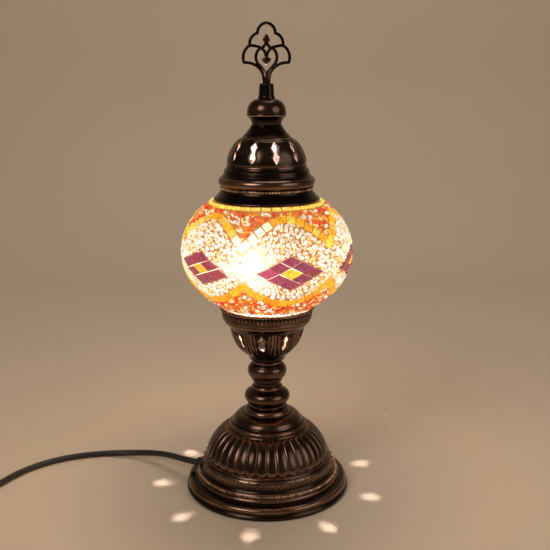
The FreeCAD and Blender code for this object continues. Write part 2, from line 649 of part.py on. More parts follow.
def band_tiles(cusp, swing):
    """Square tiles one after another along a scalloped band."""
    side = size("band_tile")
    pitch = side + size("tile_gap")
    radius = skin(GROUT_DEPTH)[0]
    start = math.radians((LOZENGES[-1][0] - 360 + LOZENGES[0][0]) / 2) + 1e-6
    steps = 7200
    walk, length = [(start, band_rise(start, cusp, swing))], [0.0]
    for step in range(1, steps):
        turn = start + math.tau * step / steps
        rise = band_rise(turn, cusp, swing)
        last_turn, last_rise = walk[-1]
        level = radius * math.sqrt(1 - (rise / skin(GROUT_DEPTH)[1]) ** 2)
        length.append(length[-1] + math.hypot(level * (turn - last_turn), rise - last_rise))
        walk.append((turn, rise))
    count = int(length[-1] / pitch)
    tiles = []
    for number in range(count):
        goal = length[-1] * (number + 0.5) / count
        index = next(i for i, value in enumerate(length) if value >= goal)
        turn, rise = walk[index]
        ahead, behind = walk[(index + 40) % steps], walk[index - 40]
        level = radius * math.sqrt(1 - (rise / skin(GROUT_DEPTH)[1]) ** 2)
        sweep = (ahead[0] - behind[0]) % math.tau
        slope = math.atan2(ahead[1] - behind[1], level * sweep)
        tiles.append(tile(turn, rise, rectangle(side, side * 0.96), slope))
    return tiles


def rim_tiles():
    """A row of low tiles close under the cap."""
    count = 36
    plan = rectangle(size("rim_tile_length"), size("rim_tile_height"))
    return [tile(math.tau * number / count, size("rim_tile_rise"), plan)
            for number in range(count)]


def tile_group(label, solids):
    feature = doc.addObject("Part::Feature", label)
    feature.Shape = Part.makeCompound(solids)
    return keep(feature, label)


def build_mosaic():
    border, middles = lozenge_tiles()
    tile_group("lozenge_tiles", border)
    tile_group("lozenge_centres", middles)
    tile_group("upper_band_tiles", band_tiles(11.6, 19.5))
    tile_group("lower_band_tiles", band_tiles(-13.2, -15.0))
    tile_group("rim_tiles", rim_tiles())


# ---------------------------------------------------------------- cap and finial

def build_cap():
    cap = turned("cap_shell", [
        (39.8, 0), (39.9, 1.2), through(36.7, 4.4), (34.5, 7.2), (34.1, 8.3), through(34.5, 9.3),
        (34.0, 10.3), (34.6, 10.9), through(36.2, 13.6), (34.0, 17.6), (32.4, 19.2),
        (31.9, 21.4), (31.6, 22.6), (30.2, 24.2), (29.8, 25.6), through(28.0, 34.0),
        (21.4, 44.2), through(14.8, 50.2), (11.0, 55.8), (3.1, 55.8), (3.1, 54.4), (9.4, 54.4),
        through(13.4, 49.2), (19.9, 43.4), through(26.4, 33.6), (28.4, 25.6), (28.6, 23.6),
        (30.4, 20.8), (30.9, 18.4), (32.8, 16.0), through(34.7, 13.4), (33.0, 11.4),
        (32.6, 8.4), (33.2, 6.4), (38.4, 0.8)],
        "cap_radius", "cap_height", "cap_level", "cap_window_turn")
    pierce(cap, [
        (0, 44.0), (1.3, 42.4), (2.9, 40.4), (1.3, 36.6), (2.6, 33.0), (1.3, 30.4), (0, 28.6),
        (-1.3, 30.4), (-2.6, 33.0), (-1.3, 36.6), (-2.9, 40.4), (-1.3, 42.4)],
        "cap_radius", "cap_height", "cap_radius", "cap_windows")
    build_clips()
    turned("cap_knob", [
        (3.1, 0), (10.8, 0), (11.0, 1.0), through(12.2, 3.6), (14.7, 6.0), (14.9, 6.6),
        (14.4, 7.5), through(13.9, 11.9), (9.8, 17.3), (8.2, 18.0), (3.1, 18.0)],
        "knob_radius", "knob_height", "knob_level")


def build_clips():
    """Three bent springs inside the cap that centre it in the glass."""
    body = body_at("spring_clips", "clip_level")
    body.AllowCompound = True
    strip = outline_sketch(body, "ClipOutline", [
        (27.4, 0), (29.1, 7.0), (29.1, 11.0), (27.9, 24.0), (27.9, 34.0), (28.4, 34.0),
        (28.4, 24.0), (29.6, 11.2), (29.6, 6.8), (27.9, 0)], "clip_radius", "clip_height")
    clip = revolve(body, strip, "clip_angle")
    pattern = body.newObject("PartDesign::PolarPattern", "ClipRing")
    pattern.Originals = [clip]
    pattern.Axis = (strip, ["V_Axis"])
    pattern.Angle = 360
    pattern.Occurrences = 3
    body.Tip = pattern
    keep(body, "spring_clips")


# the finial's bars on its right side, as arcs (start, middle, end) across and up, in millimetres
FINIAL_ARCS = [
    ((0.0, 358.2), (4.2, 356.4), (6.4, 351.2)),
    ((6.4, 351.2), (10.4, 348.6), (11.9, 342.6)),
    ((11.9, 342.6), (16.2, 337.6), (16.1, 330.6)),
    ((16.1, 330.6), (11.4, 330.2), (6.2, 327.6)),
    ((6.2, 327.6), (3.2, 324.0), (1.8, 319.0)),
    ((11.9, 342.6), (8.0, 342.2), (4.0, 341.0)),
    ((4.0, 341.0), (7.6, 334.4), (5.6, 329.2)),
    ((5.6, 329.2), (3.0, 326.4), (0.0, 322.4)),
    ((0.0, 345.6), (1.5, 342.4), (3.6, 340.6)),
    ((3.6, 340.6), (1.6, 338.8), (0.4, 335.4)),
]


def finial_bar(start, middle, end):
    """The flat face of one bar: a thickened arc with round ends, so that bars join."""
    half = size("finial_bar") / 2
    points = [Vector(x, 0, z) for x, z in (start, middle, end)]
    centre = Part.Arc(*points).toShape().Curve.Center
    out = [(point - centre).normalize() for point in points]
    ways = [normal.cross(Vector(0, 1, 0)) for normal in out]
    outer = [point + normal * half for point, normal in zip(points, out)]
    inner = [point - normal * half for point, normal in zip(points, out)]
    back = -1 if ways[0].dot(points[1] - points[0]) > 0 else 1
    sides = [
        Part.Arc(*outer), Part.Arc(outer[2], points[2] - ways[2] * half * back, inner[2]),
        Part.Arc(*reversed(inner)), Part.Arc(inner[0], points[0] + ways[0] * half * back, outer[0])]
    return Part.Face(Part.Wire([side.toShape() for side in sides]))


def flat_face(points):
    corners = [Vector(x, 0, z) for x, z in points]
    return Part.Face(Part.makePolygon(corners + corners[:1]))


def finial_leaf(points):
    """A small leaf in the openwork, symmetric about the axis."""
    return flat_face(points + [(-x, z) for x, z in reversed(points) if x])


def build_finial():
    turned("finial_socket", [
        (2.5, 0), (6.3, 0), (5.2, 10.6), (4.6, 11.2), (0, 11.2), (0, 6.2), (2.5, 6.2)],
        "socket_radius", "socket_height", "socket_level")
    socket = pieces[-1]
    solid = socket.Tip
    slot = outline_sketch(socket, "TangSlot", [
        (2.7, 7.2), (2.7, 12.0), (-2.7, 12.0), (-2.7, 7.2)], "socket_radius", "socket_height")
    pocket = socket.newObject("PartDesign::Pocket", "TangSlotCut")
    pocket.Profile = slot
    pocket.Midplane = True
    pocket.setExpression("Length", "Dims.finial_thickness + 0.1")
    doc.recompute()
    assert pocket.Shape.Volume < solid.Shape.Volume - 1, "tang slot"
    faces = []
    for arc in FINIAL_ARCS:
        faces += [finial_bar(*arc), finial_bar(*[(-x, z) for x, z in arc])]
    faces.append(finial_leaf([(0, 350.6), (1.6, 348.6), (2.5, 346.6), (1.6, 344.9), (0, 344.6)]))
    faces.append(finial_leaf([
        (0, 336.4), (1.1, 335.2), (1.9, 334.2), (3.3, 333.4), (2.4, 331.6), (0, 329.4)]))
    thick, level = size("finial_thickness"), size("finial_level")
    trunk = finial_leaf([
        (0, 323.4), (3.0, 326.2), (5.6, 328.3), (4.4, 325.6), (2.9, 322.2), (2.6, 318.0),
        (2.6, level), (0, level)])
    whole = trunk.fuse(faces).removeSplitter().extrude(Vector(0, thick, 0))
    whole.translate(Vector(0, -thick / 2, 0))
    whole = whole.Solids[0].fuse(whole.Solids[1:]).removeSplitter()
    finial = doc.addObject("Part::Feature", "finial_plate")
    finial.Shape = whole
    keep(finial, "finial_plate")
    ring("finial_stud", None, "stud_radius", "stud_height", "stud_level")
    hex_nut("stud_nut", "stud_nut_width", "stud_radius", "stud_nut_height",
            "Dims.knob_level - Dims.cap_roof - Dims.stud_nut_height")


# ---------------------------------------------------------------- mains lead

# each route is a hand-picked list of points; a tube follows it on straight runs and arcs
LEAD_ROUTE = [
    (-57, 3, 15.4), (-67.5, 8.2, 15), (-82, 23, 12.2), (-98.5, 36, 8), (-116, 43.5, 4.5),
    (-134, 46.8, 2.6), (-151, 44.6, 2.5), (-167.5, 39.8, 2.5), (-183, 31.4, 2.5),
    (-196.5, 20.4, 2.5), (-206.5, 7.6, 2.5), (-214, -7, 2.5), (-221, -22, 2.5),
    (-229, -36, 2.5), (-238.4, -47.4, 3.2), (-249.6, -54.6, 5), (-262, -57, 7),
]
TAIL_ROUTE = [
    (-320, -57, 7), (-334, -55.2, 5.6), (-345, -47.8, 4), (-351.6, -36.6, 3.3),
    (-353, -24, 3.3), (-349.6, -10.8, 3.3),
]
END_ROUTE = [
    (-350, 8, 8.2), (-350.6, 23, 6), (-346.4, 37.6, 3.4), (-336.4, 50, 3),
    (-321.4, 58.4, 4.8), (-304, 61, 6.85),
]
INNER_ROUTE = [
    (-57, 3, 15.4), (-38.9, -5.4, 15.4), (-26, -9, 17.4), (-13.6, -8, 23.4), (-5, -4, 33),
    (-1, -0.6, 44), (0, 0, 56), (0.1, 0, 86), (0, 0, 116),
]


def tube_along(label, route):
    """A tube of the lead's size: straight runs joined by arcs as large as the runs allow."""
    points = [Vector(*point) for point in route]
    edges, cursor, length, radii = [], points[0], 0.0, []
    for before, corner, after in zip(points, points[1:], points[2:]):
        way_in, way_out = (corner - before), (after - corner)
        reach = 0.45 * min(way_in.Length, way_out.Length)
        way_in, way_out = way_in.normalize(), way_out.normalize()
        turn = way_in.getAngle(way_out)
        radius = reach / math.tan(turn / 2)
        start, end = corner - way_in * reach, corner + way_out * reach
        bisector = (way_out - way_in).normalize()
        depth = radius / math.cos(turn / 2) - radius
        edges.append(Part.LineSegment(cursor, start).toShape())
        edges.append(Part.Arc(start, corner + bisector * depth, end).toShape())
        length += (start - cursor).Length + radius * turn
        radii.append(round(radius, 1))
        cursor = end
    edges.append(Part.LineSegment(cursor, points[-1]).toShape())
    length += (points[-1] - cursor).Length
    start_way = (points[1] - points[0]).normalize()
    section = Part.Wire(Part.Circle(points[0], start_way, size("lead_radius")).toShape())
    solid = Part.Wire(edges).makePipeShell([section], True, True)
    expected = math.pi * size("lead_radius") ** 2 * length
    assert abs(solid.Volume / expected - 1) < 0.01, label
    print(f"{label}: {length:.0f} mm long, smallest radius {min(radii)} mm, radii {radii}")
    feature = doc.addObject("Part::Feature", label)
    feature.Shape = solid
    return keep(feature, label)


def build_relief():
    """A tapered rubber sleeve through the side of the base; the lead fits its bore."""
    body = doc.addObject("PartDesign::Body", "strain_relief")
    outline = outline_sketch(body, "ReliefOutline", [
        (2.5, 0), (2.9, 0), (3.6, 12.0), (3.6, 17.4), (4.4, 17.4), (4.4, 18.4),
        through(4.0, 19.5), (3.0, 20.0), (2.5, 20.0)], "relief_radius", "relief_length")
    revolve(body, outline)
    inner = EXIT_POINT - EXIT_WAY * size("relief_length")
    body.Placement = Placement(inner, Rotation(Vector(0, 0, 1), EXIT_WAY))
    keep(body, "strain_relief")


def build_lead():
    build_relief()
    tube_along("cord_tube", LEAD_ROUTE)
    tube_along("cord_tail", TAIL_ROUTE)
    tube_along("cord_end", END_ROUTE)
    tube_along("inner_cable", INNER_ROUTE)
    coil = ring("cord_coil", "coil_inner", "coil_outer", "coil_height", "coil_level")
    coil.setExpression("Placement.Base.x", "Dims.coil_x")
    coil.setExpression("Placement.Base.y", "Dims.coil_y")
    build_tie()
    build_inner_wires()


def build_tie():
    """A strap round the coil's section, on the side towards the lamp."""
    boxes = []
    for name, walls in (("TieOuter", 1), ("TieInner", 0)):
        box = doc.addObject("Part::Box", name)
        spare = f"{walls} * Dims.tie_wall"
        box.setExpression("Length", f"Dims.coil_outer - Dims.coil_inner + 2 * {spare}")
        box.setExpression("Width", "Dims.tie_width")
        box.setExpression("Height", f"Dims.coil_height + 2 * {spare}")
        box.setExpression("Placement.Base.x", f"Dims.coil_x + Dims.coil_inner - {spare}")
        box.setExpression("Placement.Base.y", "Dims.coil_y - Dims.tie_width / 2")
        box.setExpression("Placement.Base.z", f"Dims.coil_level - {spare}")
        boxes.append(box)
    keep(cut("coil_tie", *boxes), "coil_tie")


def build_inner_wires():
    """Two cores from the end of the cable to the terminals of the lampholder."""
    foot = INNER_ROUTE[-1][2]
    top = size("holder_level") + size("holder_base_height") - size("terminal_height")
    core_radius, core_offset, bend = 0.9, 1.2, 3.0
    wires = []
    for side in (-1, 1):
        points = [Vector(core_offset * side, 0, foot), Vector(core_offset * side, 0, foot + bend),
                  Vector(WIRE_SPREAD * side, 0, foot + bend), Vector(WIRE_SPREAD * side, 0, top)]
        edges = [Part.LineSegment(a, b).toShape() for a, b in zip(points, points[1:])]
        section = Part.Wire(Part.Circle(points[0], Vector(0, 0, 1), core_radius).toShape())
        wires.append(Part.Wire(edges).makePipeShell([section], True, True, 1))
    feature = doc.addObject("Part::Feature", "inner_wires")
    feature.Shape = Part.makeCompound(wires)
    keep(feature, "inner_wires")


# ---------------------------------------------------------------- switch in the lead

def rounded_block(label, length, width, height, level):
    """A padded rectangle with rounded upright edges, centred on the body's axis."""
    body = body_at(label, level, x="switch_x", y="switch_y")
    half_length, half_width = size(length) / 2, size(width) / 2
    sketch = outline_sketch(body, label + "Plan", [
        (half_length, half_width), (-half_length, half_width), (-half_length, -half_width),
        (half_length, -half_width)], length, width, "XY_Plane")
    pad = body.newObject("PartDesign::Pad", label + "Pad")
    pad.Profile = sketch
    pad.setExpression("Length", height)
    doc.recompute()
    upright = [f"Edge{number + 1}" for number, edge in enumerate(pad.Shape.Edges)
               if abs(edge.tangentAt(edge.FirstParameter).z) > 0.99]
    fillet = body.newObject("PartDesign::Fillet", label + "Corners")
    fillet.Base = (pad, upright)
    fillet.setExpression("Radius", "Dims.switch_corner")
    body.Tip = fillet
    doc.recompute()
    return body


def hollow(body, name, length, width, from_level, to_level):
    """A rectangular pocket between two heights of a block; sizes are expressions."""
    solid = body.Tip
    tool = body.newObject("PartDesign::SubtractiveBox", name)
    tool.AttachmentSupport = []
    tool.setExpression("Length", length)
    tool.setExpression("Width", width)
    tool.setExpression("Height", f"({to_level}) - ({from_level})")
    tool.setExpression("Placement.Base.x", f"-({length}) / 2")
    tool.setExpression("Placement.Base.y", f"-({width}) / 2")
    tool.setExpression("Placement.Base.z", from_level)
    body.Tip = tool
    doc.recompute()
    assert tool.Shape.Volume < solid.Shape.Volume - 1, name


def lead_way(body, level):
    """The half-round way for the lead at both ends of a switch half."""
    way = body.newObject("PartDesign::SubtractiveCylinder", body.Name + "LeadWay")
    way.AttachmentSupport = []
    way.Angle = 360
    way.setExpression("Radius", "Dims.lead_radius")
    way.setExpression("Height", "Dims.switch_length + 2")
    way.Placement = Placement(Vector(), Rotation(Vector(0, 1, 0), 90))
    way.setExpression("Placement.Base.x", "-Dims.switch_length / 2 - 1")
    way.setExpression("Placement.Base.z", level)
    body.Tip = way
    doc.recompute()


def build_switch():
    base = rounded_block("switch_base", "switch_length", "switch_width", "Dims.switch_split",
                         None)
    inner_length = "Dims.switch_length - 2 * Dims.switch_wall - 2 * Dims.case_screw_inset"
    inner_width = "Dims.switch_width - 2 * Dims.switch_wall"
    hollow(base, "SwitchBaseHollow", inner_length, inner_width, "Dims.switch_wall",
           "Dims.switch_split + 1")
    lead_way(base, "Dims.switch_split")
    keep(base, "switch_base")
    cover = rounded_block("switch_cover", "switch_length", "switch_width",
                          "Dims.switch_height - Dims.switch_split", "switch_split")
    top = "Dims.switch_height - Dims.switch_split"
    hollow(cover, "SwitchCoverHollow", inner_length, inner_width, "-1",
           f"{top} - Dims.switch_wall")
    hollow(cover, "RockerOpening", "Dims.rocker_length + 2.0", "Dims.rocker_width + 0.8",
           f"{top} - Dims.switch_wall - 1", f"{top} + 1")
    lead_way(cover, "0")
    keep(cover, "switch_cover")
    build_rocker()
    pin = doc.addObject("Part::Cylinder", "rocker_pin")
    pin.Placement = Placement(Vector(), Rotation(Vector(1, 0, 0), -90))
    pin.setExpression("Radius", "Dims.rocker_pin")
    pin.setExpression("Height", "Dims.switch_width - 2 * Dims.switch_wall")
    pin.setExpression("Placement.Base.x", "Dims.switch_x")
    pin.setExpression("Placement.Base.y",
                      "Dims.switch_y - Dims.switch_width / 2 + Dims.switch_wall")
    pin.setExpression("Placement.Base.z", "Dims.rocker_axis")
    keep(pin, "rocker_pin")
    build_switch_inside()


def build_rocker():
    """The rocker, tipped about its pin so that its end towards the lamp is pressed in."""
    rocker = body_at("switch_rocker", "rocker_axis", x="switch_x", y="switch_y")
    rocker.Placement.Rotation = Rotation(Vector(0, 1, 0), size("rocker_tilt"))
    rocker.setExpression("Placement.Rotation.Angle", "Dims.rocker_tilt")
    side = outline_sketch(rocker, "RockerSide", [
        (9.0, 4.6), through(0, 3.6), (-9.0, 4.6), (-8.6, 1.0), (-3.5, -2.6), (3.5, -2.6),
        (8.6, 1.0)], "rocker_length", "rocker_length")
    pad = rocker.newObject("PartDesign::Pad", "RockerPad")
    pad.Profile = side
    pad.Midplane = True
    pad.setExpression("Length", "Dims.rocker_width")
    rocker.Tip = pad
    doc.recompute()
    bore = rocker.newObject("PartDesign::SubtractiveCylinder", "RockerBore")
    bore.AttachmentSupport = []
    bore.Angle = 360
    bore.setExpression("Radius", "Dims.rocker_pin + 0.05")
    bore.setExpression("Height", "Dims.rocker_width + 2")
    bore.Placement = Placement(Vector(), Rotation(Vector(1, 0, 0), -90))
    bore.setExpression("Placement.Base.y", "-Dims.rocker_width / 2 - 1")
    rocker.Tip = bore
    doc.recompute()
    assert bore.Shape.Volume < pad.Shape.Volume - 1, "rocker bore"
    keep(rocker, "switch_rocker")


def build_switch_inside():
    """Contact strips on the floor of the switch and the screws that close its halves."""
    strips, screws = [], []
    for number, side in enumerate((-1, 1)):
        strip = doc.addObject("Part::Box", f"contact_strip_{number + 1}")
        strip.setExpression("Length", "Dims.contact_length")
        strip.setExpression("Width", "Dims.contact_width")
        strip.setExpression("Height", "Dims.contact_thickness")
        strip.setExpression(
            "Placement.Base.x",
            f"Dims.switch_x - Dims.contact_length / 2 + {side} * Dims.contact_offset")
        strip.setExpression("Placement.Base.y", "Dims.switch_y - Dims.contact_width / 2")
        strip.setExpression("Placement.Base.z", "Dims.switch_wall")
        strips.append(strip)
        screws.append(cylinder(
            f"case_screw_{number + 1}", "Dims.case_screw_radius",
            "Dims.switch_height - Dims.case_screw_inset",
            x=f"Dims.switch_x + {side} * (Dims.switch_length / 2 - Dims.case_screw_inset)",
            y=f"Dims.switch_y + {side} * Dims.case_screw_offset", z="Dims.case_screw_level"))
    group("switch_contacts", strips)
    group("switch_screws", screws)


# ---------------------------------------------------------------- plug

def build_plug():
    plug = body_at("plug_body", None, x="plug_x", y="plug_y")
    plan = outline_sketch(plug, "PlugPlan", [
        (0, -4.2), (9.0, -5.4), through(16.0, -8.2), (21.0, -13.6), (28.0, -17.5),
        (36.0, -17.5), (36.0, 17.5), (28.0, 17.5), (21.0, 13.6), through(16.0, 8.2),
        (9.0, 5.4), (0, 4.2)], "plug_length", "plug_width", "XY_Plane")
    pad = plug.newObject("PartDesign::Pad", "PlugPad")
    pad.Profile = plan
    pad.setExpression("Length", "Dims.plug_height")
    doc.recompute()
    level = [f"Edge{number + 1}" for number, edge in enumerate(pad.Shape.Edges)
             if edge.BoundBox.ZLength < 0.01 and edge.BoundBox.XMax < 35.9]
    fillet = plug.newObject("PartDesign::Fillet", "PlugEdges")
    fillet.Base = (pad, level)
    fillet.setExpression("Radius", "Dims.plug_edge")
    plug.Tip = fillet
    keep(plug, "plug_body")
    pins = []
    for number, side in enumerate((-1, 1)):
        pin = doc.addObject("Part::Cylinder", f"plug_pin_{number + 1}")
        pin.Placement = Placement(Vector(), Rotation(Vector(0, 1, 0), 90))
        pin.setExpression("Radius", "Dims.pin_radius")
        pin.setExpression("Height", "Dims.pin_length")
        pin.setExpression("Placement.Base.x", "Dims.plug_x + Dims.plug_length")
        pin.setExpression("Placement.Base.y", f"Dims.plug_y + {side} * Dims.pin_pitch / 2")
        pin.setExpression("Placement.Base.z", "Dims.plug_height / 2")
        pins.append(pin)
    group("plug_pins", pins)


# ---------------------------------------------------------------- make, check and write

build_base()
build_stem()
build_cup()
build_lampholder()
build_bulb()
build_glass()
build_mosaic()
build_cap()
build_finial()
build_lead()
build_switch()
build_plug()
doc.recompute()

for item in doc.Objects:
    assert not {"Invalid", "Error"} & set(item.State), f"{item.Label}: {item.State}"
os.makedirs("parts", exist_ok=True)
for piece in pieces:
    shape = piece.Shape
    assert not shape.isNull() and shape.isValid(), piece.Label
    assert shape.Volume > 0, piece.Label
    shape.exportStep(f"parts/{piece.Label}.step")
print(f"{len(pieces)} sub-parts written")
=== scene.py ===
"""Looks of the mosaic glass table lamp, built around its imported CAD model.

Shapes are written in millimetres and become metres in Shape.build.  +Z is up, the front is -Y,
and angles round the lamp's axis start at the front and grow towards +X.
"""

import math
from itertools import product

import bmesh
import bpy
import numpy as np
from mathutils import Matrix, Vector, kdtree


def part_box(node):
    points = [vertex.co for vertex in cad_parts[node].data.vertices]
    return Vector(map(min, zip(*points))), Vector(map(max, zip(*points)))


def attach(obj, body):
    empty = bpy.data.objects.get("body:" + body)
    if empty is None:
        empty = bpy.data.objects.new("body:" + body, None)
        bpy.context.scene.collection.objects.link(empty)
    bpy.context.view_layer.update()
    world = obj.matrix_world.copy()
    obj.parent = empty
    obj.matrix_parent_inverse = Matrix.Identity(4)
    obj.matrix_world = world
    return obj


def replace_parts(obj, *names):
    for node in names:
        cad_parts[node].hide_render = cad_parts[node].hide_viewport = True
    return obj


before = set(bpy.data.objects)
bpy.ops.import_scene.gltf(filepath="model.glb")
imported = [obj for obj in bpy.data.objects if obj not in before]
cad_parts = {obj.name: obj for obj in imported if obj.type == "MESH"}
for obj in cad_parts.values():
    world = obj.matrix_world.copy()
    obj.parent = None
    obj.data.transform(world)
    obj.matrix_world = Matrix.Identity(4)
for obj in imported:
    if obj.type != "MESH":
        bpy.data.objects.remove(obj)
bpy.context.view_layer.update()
MM = 0.001
dice = np.random.default_rng(11)


def placed(name, data):
    """A new object in the scene."""
    piece = bpy.data.objects.new(name, data)
    bpy.context.scene.collection.objects.link(piece)
    return piece


# ---------------------------------------------------------------- camera and mains lead

def make_camera():
    data = bpy.data.cameras.new("camera")
    data.lens, data.sensor_width = 55.0, 36.0
    camera = placed("camera", data)
    camera.location = (0.0062, -0.627, 0.322)
    camera.rotation_euler = (math.radians(76.6), 0, 0)
    bpy.context.scene.camera = camera


LEAD_ROUTE = [
    (-57, 3, 15.4), (-67.5, 8.2, 15), (-82, 23, 12.2), (-98.5, 36, 8), (-116, 43.5, 4.5),
    (-134, 46.8, 2.6), (-151, 44.6, 2.5), (-167.5, 39.8, 2.5), (-183, 31.4, 2.5),
    (-196.5, 20.4, 2.5), (-206.5, 7.6, 2.5), (-214, -7, 2.5), (-221, -22, 2.5),
    (-229, -36, 2.5), (-238.4, -47.4, 3.2), (-249.6, -54.6, 5), (-262, -57, 7),
]
SWITCH_ROUTE = [(-276, -57, 7), (-291, -56.8, 7), (-306, -57, 7)]
TAIL_ROUTE = [
    (-320, -57, 7), (-334, -55.2, 5.6), (-345, -47.8, 4), (-351.6, -36.6, 3.3),
    (-353, -24, 3.3), (-349.6, -10.8, 3.3),
]
END_ROUTE = [
    (-350, 8, 8.2), (-350.6, 23, 6), (-346.4, 37.6, 3.4), (-336.4, 50, 3),
    (-321.4, 58.4, 4.8), (-304, 61, 6.85),
]
LEAD_DIAMETER = 5.0
COIL_CENTRE = (-315.0, 2.0)
COIL_WIDEST = 35.2
COIL_TURNS = 4
COIL_POINTS = 16
COIL_FOOT = 3.3
COIL_SHIFT = 0.3
COIL_PINCH = 1.2


def coil_route():
    """Two layers of turns: inwards along the floor, then outwards on top of them.

    Each turn is round at first and moves over by one thickness in its last part, COIL_SHIFT.
    """
    points = []
    for layer in (0, 1):
        for step in range(COIL_TURNS * COIL_POINTS):
            whole, part = divmod(step / COIL_POINTS, 1.0)
            shift = max(0.0, part - (1 - COIL_SHIFT)) / COIL_SHIFT
            shift = shift * shift * (3 - 2 * shift)
            ring = whole + shift if layer == 0 else COIL_TURNS - 1 - whole - shift
            ring = min(max(ring, 0), COIL_TURNS - 1)
            lift = shift if layer == 0 and whole == COIL_TURNS - 1 else layer
            radius = COIL_WIDEST - LEAD_DIAMETER * ring - COIL_PINCH * math.sin(math.pi * lift)
            turn = math.pi - 2 * math.pi * step / COIL_POINTS
            points.append((COIL_CENTRE[0] + radius * math.cos(turn),
                           COIL_CENTRE[1] + radius * math.sin(turn),
                           COIL_FOOT + LEAD_DIAMETER * lift))
    return points


def make_lead():
    route = LEAD_ROUTE + SWITCH_ROUTE + TAIL_ROUTE + coil_route() + END_ROUTE
    data = bpy.data.curves.new("mains_lead", "CURVE")
    data.dimensions = "3D"
    data.bevel_depth = LEAD_DIAMETER / 2 * MM
    data.bevel_resolution = 5
    data.resolution_u = 8
    data.use_fill_caps = True
    spline = data.splines.new("NURBS")
    spline.points.add(len(route) - 1)
    for point, (x, y, z) in zip(spline.points, route):
        point.co = (x * MM, y * MM, z * MM, 1)
    spline.order_u = 3
    spline.use_endpoint_u = True
    lead = placed("mains_lead", data)
    data.materials.append(sheath("lead_sheath"))
    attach(lead, "stand")
    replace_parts(lead, "cord_tube", "cord_tail", "cord_end", "cord_coil")


# ---------------------------------------------------------------- materials

class Paint:
    """A material with its principled shader, and short calls for the nodes that feed it."""

    def __init__(self, name, **values):
        self.material = bpy.data.materials.new(name)
        self.material.use_nodes = True
        self.tree = self.material.node_tree
        self.shader = self.tree.nodes["Principled BSDF"]
        for socket, value in values.items():
            self.shader.inputs[socket.replace("_", " ")].default_value = value
        self.place = self.tree.nodes.new("ShaderNodeTexCoord").outputs["Object"]

    def put(self, kind, **inputs):
        node = self.tree.nodes.new(kind)
        for socket, value in inputs.items():
            self.feed(node.inputs[socket.replace("_", " ")], value)
        return node

    def feed(self, socket, value):
        if isinstance(value, bpy.types.NodeSocket):
            self.tree.links.new(value, socket)
        else:
            socket.default_value = value

    def noise(self, scale, detail=3.0, squeeze=(1, 1, 1), roughness=0.5):
        shifted = self.put("ShaderNodeMapping", Vector=self.place, Scale=squeeze)
        return self.put("ShaderNodeTexNoise", Vector=shifted.outputs[0], Scale=scale,
                        Detail=detail, Roughness=roughness).outputs["Fac"]

    def attribute(self, name, output):
        node = self.tree.nodes.new("ShaderNodeAttribute")
        node.attribute_name = name
        return node.outputs[output]

    def spread(self, value, low, high, to_low=0.0, to_high=1.0):
        return self.put("ShaderNodeMapRange", Value=value, **{
            "From_Min": low, "From_Max": high, "To_Min": to_low, "To_Max": to_high}).outputs[0]

    def maths(self, operation, first, second):
        node = self.tree.nodes.new("ShaderNodeMath")
        node.operation = operation
        self.feed(node.inputs[0], first)
        self.feed(node.inputs[1], second)
        return node.outputs[0]

    def mix(self, factor, first, second, mode="MIX"):
        node = self.tree.nodes.new("ShaderNodeMix")
        node.data_type, node.blend_type = "RGBA", mode
        self.feed(node.inputs[0], factor)
        self.feed(node.inputs[6], first)
        self.feed(node.inputs[7], second)
        return node.outputs[2]

    def set(self, socket, value):
        self.feed(self.shader.inputs[socket], value)

    def colour(self, factor, first, second):
        self.set("Base Color", self.mix(factor, rgb(*first), rgb(*second)))

    def roughness(self, scale, low, high, detail=3.0):
        """Roughness that wanders between two values."""
        self.set("Roughness", self.spread(self.noise(scale, detail), 0.3, 0.7, low, high))

    def bump(self, height, strength, distance=0.0002):
        node = self.put("ShaderNodeBump", Height=height, Strength=strength, Distance=distance)
        self.set("Normal", node.outputs[0])


def rgb(*values):
    return (*values, 1.0)


def antique_copper(name):
    """Dark patina with copper burnished through on the high spots, slightly uneven."""
    paint = Paint(name, Metallic=1.0)
    wear = paint.attribute("wear", "Fac")
    clouds = paint.noise(55, 5, roughness=0.6)
    rubbed = paint.maths("MULTIPLY", wear, paint.spread(clouds, 0.3, 0.65, 0.2, 0.85))
    patina = paint.mix(paint.spread(paint.noise(18, 4), 0.35, 0.7),
                       rgb(0.016, 0.011, 0.009), rgb(0.036, 0.023, 0.019))
    paint.set("Base Color", paint.mix(rubbed, patina, rgb(0.36, 0.21, 0.145)))
    paint.roughness(140, 0.15, 0.27, 4)
    grain = paint.maths("ADD", paint.noise(900, 3), paint.noise(210, 2))
    paint.bump(grain, 0.10, 0.00015)
    return paint.material


def rubbed_copper(name):
    """Copper that hands and cloths keep bright, with patina left in patches."""
    paint = Paint(name, Metallic=1.0)
    patches = paint.spread(paint.noise(260, 4), 0.38, 0.6)
    paint.colour(patches, (0.26, 0.15, 0.09), (0.92, 0.62, 0.42))
    paint.roughness(400, 0.22, 0.38)
    paint.bump(paint.noise(900, 3), 0.10, 0.00015)
    return paint.material


def inner_metal(name, light):
    """The dull, blotchy inside of the pierced castings."""
    paint = Paint(name, Metallic=0.55)
    blotches = paint.spread(paint.noise(130, 5), 0.38, 0.62)
    paint.colour(blotches, [0.35 * channel for channel in light], light)
    paint.roughness(200, 0.4, 0.65)
    paint.bump(paint.noise(400), 0.2)
    return paint.material


def plain_metal(name, dark, light, rough, squeeze=(1, 1, 1)):
    """Steel or brass: faint turning marks and uneven brightness."""
    paint = Paint(name, Metallic=1.0)
    marks = paint.noise(160, 5, squeeze)
    paint.colour(marks, dark, light)
    paint.set("Roughness", paint.spread(marks, 0.3, 0.7, rough - 0.08, rough + 0.1))
    paint.bump(paint.noise(700, 3, squeeze), 0.12)
    return paint.material


